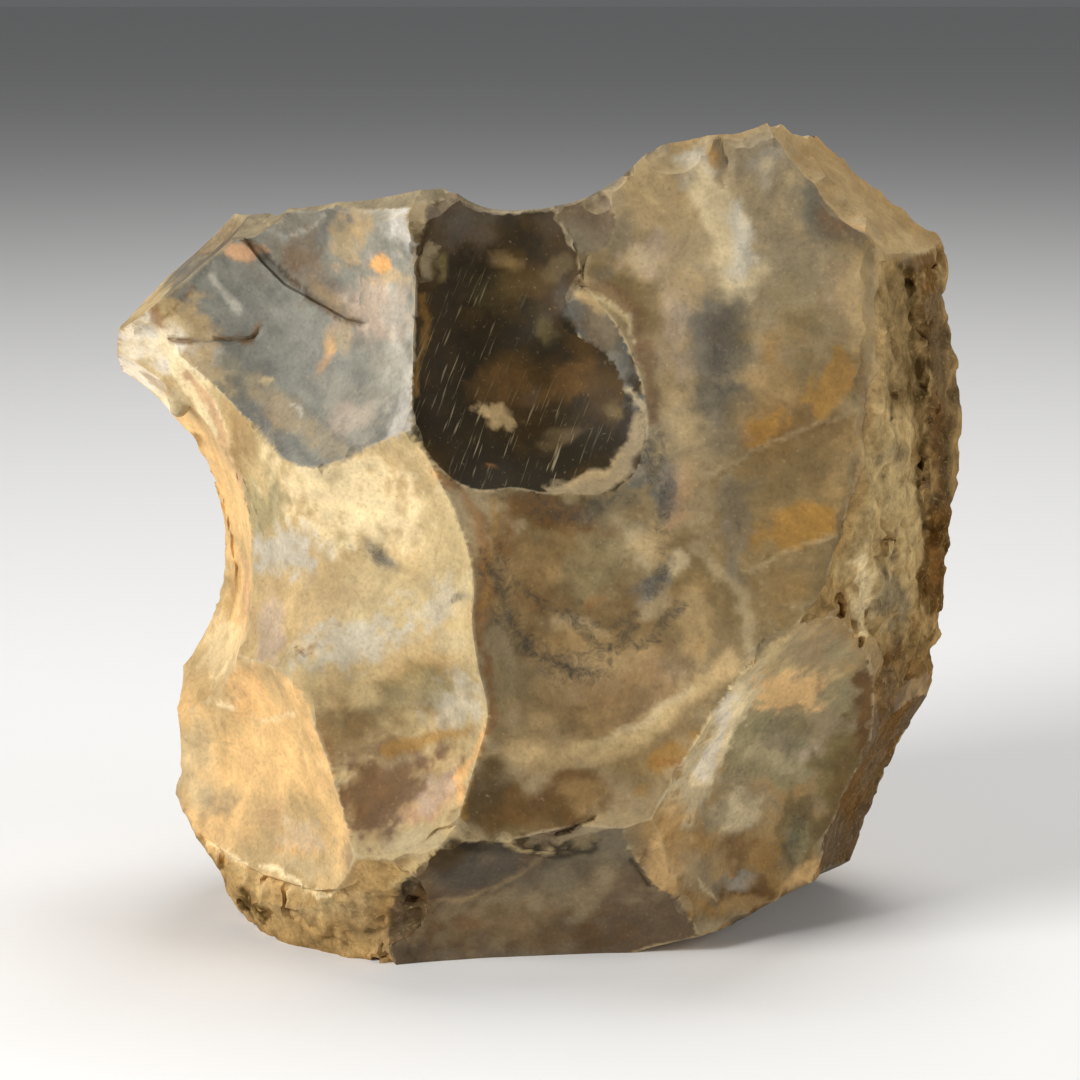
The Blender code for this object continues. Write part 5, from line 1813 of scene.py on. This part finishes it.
@dataclass(frozen=True)
class KnappedFlint:
    """Knapped flint with its chalky rind (cortex).

    Flint is a glass-fine silica: struck faces are smooth with a low waxy sheen, and are pale and
    fibrous where the stone has weathered.  The rind is dull, rough and pitted.
    """

    cloud_mm: float = 3.5
    cloud_change: float = 0.12
    veil_mm: float = 6.0
    fleck_mm: float = 0.55
    wisp_mm: float = 2.0
    scratch_mm: float = 0.32
    scratch_length_mm: float = 5.0
    scratch_cover: float = 0.55
    grain_change: float = 0.09
    veil_change: float = 0.14
    fine_relief: float = 0.07
    rind_mm: float = 2.6
    sheen_roughness: float = 0.6
    rind_roughness: float = 0.92
    ior: float = 1.54
    sheen: float = 0.20
    rind_sheen: float = 0.03
    relief_mm: float = 0.35

    def make(self) -> bpy.types.Material:
        """Build the material."""
        finish = bpy.data.materials.new("knapped_flint")
        finish.use_nodes = True
        tree = finish.node_tree
        tree.nodes.clear()
        place = add_node(tree, "ShaderNodeTexCoord").outputs["Object"]
        ground = add_node(tree, "ShaderNodeAttribute", attribute_name="stone_colour").outputs["Color"]
        clouds = add_node(
            tree, "ShaderNodeTexNoise",
            {"Vector": place, "Scale": 1.0 / (self.cloud_mm * MM), "Detail": 5.0, "Roughness": 0.7},
        ).outputs["Fac"]
        shade = add_node(
            tree, "ShaderNodeMapRange",
            {"Value": clouds, "From Min": 0.3, "From Max": 0.7,
             "To Min": 1.0 - self.cloud_change, "To Max": 1.0 + self.cloud_change},
        ).outputs["Result"]
        flecks = add_node(
            tree, "ShaderNodeTexNoise",
            {"Vector": place, "Scale": 1.0 / (self.fleck_mm * MM), "Detail": 2.0, "Roughness": 0.6},
        ).outputs["Fac"]
        grain = add_node(
            tree, "ShaderNodeMapRange",
            {"Value": flecks, "From Min": 0.3, "From Max": 0.7, "To Min": 1.0 - self.grain_change,
             "To Max": 1.0 + self.grain_change},
        ).outputs["Result"]
        shade = add_node(tree, "ShaderNodeMath", {0: shade, 1: grain}, operation="MULTIPLY").outputs[0]
        veils = add_node(
            tree, "ShaderNodeTexNoise",
            {"Vector": place, "Scale": 1.0 / (self.veil_mm * MM), "Detail": 7.0, "Roughness": 0.72,
             "Distortion": 0.9},
        ).outputs["Fac"]
        veil = add_node(
            tree, "ShaderNodeMapRange",
            {"Value": veils, "From Min": 0.38, "From Max": 0.62, "To Min": 1.0 - self.veil_change,
             "To Max": 1.0 + self.veil_change},
        ).outputs["Result"]
        shade = add_node(tree, "ShaderNodeMath", {0: shade, 1: veil}, operation="MULTIPLY").outputs[0]
        colour = add_node(
            tree, "ShaderNodeVectorMath", {0: ground, "Scale": shade}, operation="SCALE"
        ).outputs["Vector"]
        colour = self.glaze(tree, colour, Tone.CREAM, flecks, 0.66, 0.86, 0.22)
        colour = self.glaze(tree, colour, Tone.UMBER, flecks, 0.38, 0.20, 0.25)
        colour = self.wisps(tree, place, colour)
        colour = self.scratches(tree, place, colour)
        # painted highlights and pale wear along the arrises
        colour = self.arrises(tree, clouds, colour)
        rind, rind_noise, rind_colour = self.rind(tree, place, ground, flecks)
        colour = add_node(
            tree, "ShaderNodeMix", {0: rind, 6: colour, 7: rind_colour}, data_type="RGBA"
        ).outputs[2]
        roughness = add_node(
            tree, "ShaderNodeMapRange",
            {"Value": clouds, "From Min": 0.3, "From Max": 0.7,
             "To Min": self.sheen_roughness - 0.05, "To Max": self.sheen_roughness + 0.07},
        ).outputs["Result"]
        roughness = add_node(
            tree, "ShaderNodeMix", {0: rind, 2: roughness, 3: self.rind_roughness}, data_type="FLOAT"
        ).outputs[0]
        sheen = add_node(
            tree, "ShaderNodeMix", {0: rind, 2: self.sheen, 3: self.rind_sheen}, data_type="FLOAT"
        ).outputs[0]
        fine = add_node(
            tree, "ShaderNodeMath", {0: flecks, 1: self.fine_relief}, operation="MULTIPLY"
        ).outputs[0]
        height = add_node(
            tree, "ShaderNodeMix", {0: rind, 2: fine, 3: rind_noise}, data_type="FLOAT"
        ).outputs[0]
        bump = add_node(
            tree, "ShaderNodeBump", {"Height": height, "Distance": self.relief_mm * MM, "Strength": 1.0}
        ).outputs["Normal"]
        shader = add_node(
            tree, "ShaderNodeBsdfPrincipled",
            {"Base Color": colour, "Roughness": roughness, "Normal": bump, "IOR": self.ior,
             "Specular IOR Level": sheen},
        ).outputs["BSDF"]
        add_node(tree, "ShaderNodeOutputMaterial", {"Surface": shader})
        return finish

    def glaze(
        self,
        tree: bpy.types.NodeTree,
        under: bpy.types.NodeSocket,
        tone: Tone,
        value: bpy.types.NodeSocket,
        start: float,
        full: float,
        most: "float | bpy.types.NodeSocket",
    ) -> bpy.types.NodeSocket:
        """Lay a tone over a colour where a value passes from start to full.

        Args:
            tree: the material's node tree.
            under: the colour so far.
            tone: the tone laid over it.
            value: what says where the tone lies, such as a noise.
            start: the value where the tone begins to show.
            full: the value from which it is thickest.
            most: its cover where it is thickest.

        Returns:
            The new colour.
        """
        cover = add_node(
            tree, "ShaderNodeMapRange",
            {"Value": value, "From Min": start, "From Max": full, "To Min": 0.0, "To Max": most},
        ).outputs["Result"]
        over = (*linear(tone.value), 1.0)
        return add_node(tree, "ShaderNodeMix", {0: cover, 6: under, 7: over}, data_type="RGBA").outputs[2]

    def wisps(
        self, tree: bpy.types.NodeTree, place: bpy.types.NodeSocket, under: bpy.types.NodeSocket
    ) -> bpy.types.NodeSocket:
        """Near-black wisps, torn up by a noise where they thin out.

        Args:
            tree: the material's node tree.
            place: the point's own coordinates.
            under: the colour so far.

        Returns:
            The new colour.
        """
        thick = add_node(tree, "ShaderNodeAttribute", attribute_name="wisps").outputs["Fac"]
        torn = add_node(
            tree, "ShaderNodeTexNoise",
            {"Vector": place, "Scale": 1.0 / (self.wisp_mm * MM), "Detail": 7.0, "Roughness": 0.75,
             "Distortion": 1.6},
        ).outputs["Fac"]
        both = add_node(tree, "ShaderNodeMath", {0: thick, 1: torn}, operation="ADD").outputs[0]
        return self.glaze(tree, under, Tone.VEIN, both, 1.03, 1.34, 0.85)

    def scratches(
        self, tree: bpy.types.NodeTree, place: bpy.types.NodeSocket, under: bpy.types.NodeSocket
    ) -> bpy.types.NodeSocket:
        """Fine pale scratches that lean to the right.

        Args:
            tree: the material's node tree.
            place: the point's own coordinates.
            under: the colour so far.

        Returns:
            The new colour.
        """
        thick = add_node(tree, "ShaderNodeAttribute", attribute_name="scratches").outputs["Fac"]
        lean = add_node(
            tree, "ShaderNodeMapping",
            {"Vector": place, "Rotation": (0.0, math.radians(22.0), 0.0),
             "Scale": (1.0, 20.0, self.scratch_length_mm / self.scratch_mm)},
            vector_type="TEXTURE",
        ).outputs["Vector"]
        lines = add_node(
            tree, "ShaderNodeTexNoise",
            {"Vector": lean, "Scale": 1.0 / (self.scratch_mm * MM), "Detail": 1.0},
        ).outputs["Fac"]
        most = add_node(
            tree, "ShaderNodeMath", {0: thick, 1: self.scratch_cover}, operation="MULTIPLY"
        ).outputs[0]
        return self.glaze(tree, under, Tone.BONE, lines, 0.63, 0.75, most)

    def arrises(
        self, tree: bpy.types.NodeTree, clouds: bpy.types.NodeSocket, under: bpy.types.NodeSocket
    ) -> bpy.types.NodeSocket:
        """Thin pale lines along the sharp arrises: painted highlights and pale edge wear.

        Args:
            tree: the material's node tree.
            clouds: the noise that makes the lines uneven.
            under: the colour so far.

        Returns:
            The new colour.
        """
        gap = add_node(tree, "ShaderNodeAttribute", attribute_name="arris").outputs["Fac"]
        uneven = add_node(
            tree, "ShaderNodeMath", {0: clouds, 1: 1.2, 2: gap}, operation="MULTIPLY_ADD"
        ).outputs[0]
        return self.glaze(tree, under, Tone.BONE, uneven, 0.95, 0.55, 0.5)

    def rind(
        self,
        tree: bpy.types.NodeTree,
        place: bpy.types.NodeSocket,
        ground: bpy.types.NodeSocket,
        flecks: bpy.types.NodeSocket,
    ) -> tuple[bpy.types.NodeSocket, bpy.types.NodeSocket, bpy.types.NodeSocket]:
        """Build the rind.

        Args:
            tree: the material's node tree.
            place: the point's own coordinates.
            ground: the painted colour.
            flecks: the fine grain noise.

        Returns:
            Where the rind is, its roughness pattern and its colour.
        """
        lead = add_node(tree, "ShaderNodeAttribute", attribute_name="rind").outputs["Fac"]
        noise = add_node(
            tree, "ShaderNodeTexNoise",
            {"Vector": place, "Scale": 1.0 / (self.rind_mm * MM), "Detail": 5.0, "Roughness": 0.68},
        ).outputs["Fac"]
        ragged = add_node(
            tree, "ShaderNodeMath", {0: noise, 1: 1.6, 2: lead}, operation="MULTIPLY_ADD"
        ).outputs[0]
        cover = add_node(
            tree, "ShaderNodeMapRange", {"Value": ragged, "From Min": 0.75, "From Max": 1.0}
        ).outputs["Result"]
        shade = add_node(
            tree, "ShaderNodeMapRange",
            {"Value": noise, "From Min": 0.32, "From Max": 0.66, "To Min": 0.6, "To Max": 1.45},
        ).outputs["Result"]
        colour = add_node(
            tree, "ShaderNodeVectorMath", {0: ground, "Scale": shade}, operation="SCALE"
        ).outputs["Vector"]
        colour = self.glaze(tree, colour, Tone.UMBER, flecks, 0.42, 0.28, 0.3)
        colour = self.glaze(tree, colour, Tone.BUTTER, flecks, 0.58, 0.74, 0.4)
        return cover, noise, colour


# ---------------------------------------------------------------- the piece


@dataclass
class FlintCore:
    """The stone as one piece, dressed in its flint finish."""

    name: str = "flint_stone"
    triangle_limit: int = 190_000
    front_hold: float = 0.1
    crease_degrees: float = 32.0

    def build(self) -> bpy.types.Object:
        """Mesh the stone, dress it and fix it to the frame."""
        shape = StoneShape()
        corners, triangles = StoneMesher(shape).build()
        log.info("stone meshed: %d points, %d triangles", len(corners), len(triangles))
        piece = self.add_mesh((corners + STANDING_SHIFT) * MM, triangles)
        self.thin_out(piece)
        self.keep_in_box(piece)
        StonePaint(shape, piece.data).lay()
        piece.data.materials.append(KnappedFlint().make())
        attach(piece, BODY)
        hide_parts(NODE)
        return piece

    def add_mesh(self, points: np.ndarray, triangles: np.ndarray) -> bpy.types.Object:
        """Make a Blender object from points in metres and triangles."""
        mesh = bpy.data.meshes.new(self.name)
        mesh.vertices.add(len(points))
        mesh.vertices.foreach_set("co", points.astype(np.float32).ravel())
        mesh.loops.add(triangles.size)
        mesh.loops.foreach_set("vertex_index", triangles.astype(np.int32).ravel())
        mesh.polygons.add(len(triangles))
        mesh.polygons.foreach_set("loop_start", np.arange(0, triangles.size, 3, dtype=np.int32))
        mesh.update(calc_edges=True)
        mesh.validate()
        piece = bpy.data.objects.new(self.name, mesh)
        bpy.context.scene.collection.objects.link(piece)
        return piece

    def keep_in_box(self, piece: bpy.types.Object) -> None:
        """Bring the points that stand outside the box of the stone's plain shape back to it."""
        points = np.empty(len(piece.data.vertices) * 3)
        piece.data.vertices.foreach_get("co", points)
        kept = np.clip(points.reshape(-1, 3), *(np.array(corner) for corner in cad_box))
        piece.data.vertices.foreach_set("co", kept.ravel())
        piece.data.update()

    def thin_out(self, piece: bpy.types.Object) -> None:
        """Bring the mesh under its triangle limit, from the back first."""
        share = self.triangle_limit / len(piece.data.polygons)
        if share < 1.0:
            group = piece.vertex_groups.new(name="thin")
            points = np.empty(len(piece.data.vertices) * 3)
            normals = np.empty(len(piece.data.vertices) * 3)
            piece.data.vertices.foreach_get("co", points)
            piece.data.vertices.foreach_get("normal", normals)
            seen = normals.reshape(-1, 3) @ -BOARD.ray((0.0, 0.0))
            for weight, rows in ((1.0, np.flatnonzero(seen < -0.1)), (0.0, np.flatnonzero(seen >= -0.1))):
                group.add(rows.tolist(), weight, "REPLACE")
            step = piece.modifiers.new("thin_out", "DECIMATE")
            step.ratio = share
            step.vertex_group = group.name
            step.vertex_group_factor = self.front_hold
            graph = bpy.context.evaluated_depsgraph_get()
            thinner = bpy.data.meshes.new_from_object(piece.evaluated_get(graph))
            piece.modifiers.clear()
            piece.vertex_groups.clear()
            piece.data = thinner
            log.info("stone thinned to %d triangles", len(thinner.polygons))
        piece.data.shade_smooth()
        piece.data.set_sharp_from_angle(angle=math.radians(self.crease_degrees))


# ---------------------------------------------------------------- floor, light and camera


@dataclass(frozen=True)
class Lamp:
    """One square soft light that looks at the middle of the stone."""

    name: str
    place: tuple[float, float, float]
    size: float
    power: float


@dataclass
class Studio:
    """Pale matt floor, soft lights and the camera.

    The key light stands at the upper left, the top light behind, and a weak fill at the right.
    """

    floor_half: float = 4.0
    floor_tone: str = "#EFEEEC"
    floor_roughness: float = 0.9
    sky_tone: str = "#F2F4F8"
    sky_strength: float = 0.14
    look_at: tuple[float, float, float] = (0.0, 0.0, 0.06)
    lens: float = 100.0
    sensor: float = 36.0
    camera_place: tuple[float, float, float] = (-0.000561, -0.436512, 0.14908)
    camera_tilt: float = 78.0
    lamps: tuple[Lamp, ...] = (
        Lamp("key", (-0.69, -0.44, 0.50), 0.35, 8.4),
        Lamp("top", (0.15, 0.25, 0.90), 0.50, 4.5),
        Lamp("fill", (0.88, -0.30, 0.42), 0.50, 2.6),
    )

    def build(self) -> None:
        """Add the floor, the lights and the camera."""
        self.add_floor()
        for lamp in self.lamps:
            self.add_lamp(lamp)
        self.add_camera()
        world = bpy.data.worlds.new("studio")
        world.use_nodes = True
        sky = world.node_tree.nodes["Background"]
        sky.inputs["Color"].default_value = (*linear(self.sky_tone), 1.0)
        sky.inputs["Strength"].default_value = self.sky_strength
        bpy.context.scene.world = world
        bpy.context.scene.view_settings.view_transform = "Standard"

    def add_floor(self) -> None:
        """Add the floor, which isn't part of the object."""
        half = self.floor_half
        sheet = bpy.data.meshes.new("floor")
        corners = [(-half, -half, 0), (half, -half, 0), (half, half, 0), (-half, half, 0)]
        sheet.from_pydata(corners, [], [(0, 1, 2, 3)])
        card = bpy.data.materials.new("floor_card")
        card.use_nodes = True
        shader = card.node_tree.nodes["Principled BSDF"]
        shader.inputs["Base Color"].default_value = (*linear(self.floor_tone), 1.0)
        shader.inputs["Roughness"].default_value = self.floor_roughness
        sheet.materials.append(card)
        floor = bpy.data.objects.new("floor", sheet)
        bpy.context.scene.collection.objects.link(floor)

    def add_lamp(self, lamp: Lamp) -> None:
        """Add one light."""
        light = bpy.data.lights.new(lamp.name, "AREA")
        light.size = lamp.size
        light.energy = lamp.power
        body = bpy.data.objects.new(lamp.name, light)
        bpy.context.scene.collection.objects.link(body)
        body.location = lamp.place
        way = Vector(self.look_at) - Vector(lamp.place)
        body.rotation_euler = way.to_track_quat("-Z", "Y").to_euler()

    def add_camera(self) -> None:
        """Add the camera, level with the stone and looking a little down."""
        camera = bpy.data.cameras.new("camera")
        camera.lens = self.lens
        camera.sensor_width = self.sensor
        camera.clip_start = 0.01
        body = bpy.data.objects.new("camera", camera)
        bpy.context.scene.collection.objects.link(body)
        body.location = self.camera_place
        body.rotation_euler = (math.radians(self.camera_tilt), 0.0, 0.0)
        bpy.context.scene.camera = body


def main() -> None:
    """Build the stone and the studio."""
    logging.basicConfig(level=logging.INFO, format="%(message)s")
    stone = FlintCore().build()
    log.info("%s built: %d triangles", stone.name, len(stone.data.polygons))
    Studio().build()
    log.info("floor, lights and camera built")


if __name__ == "__main__":
    main()
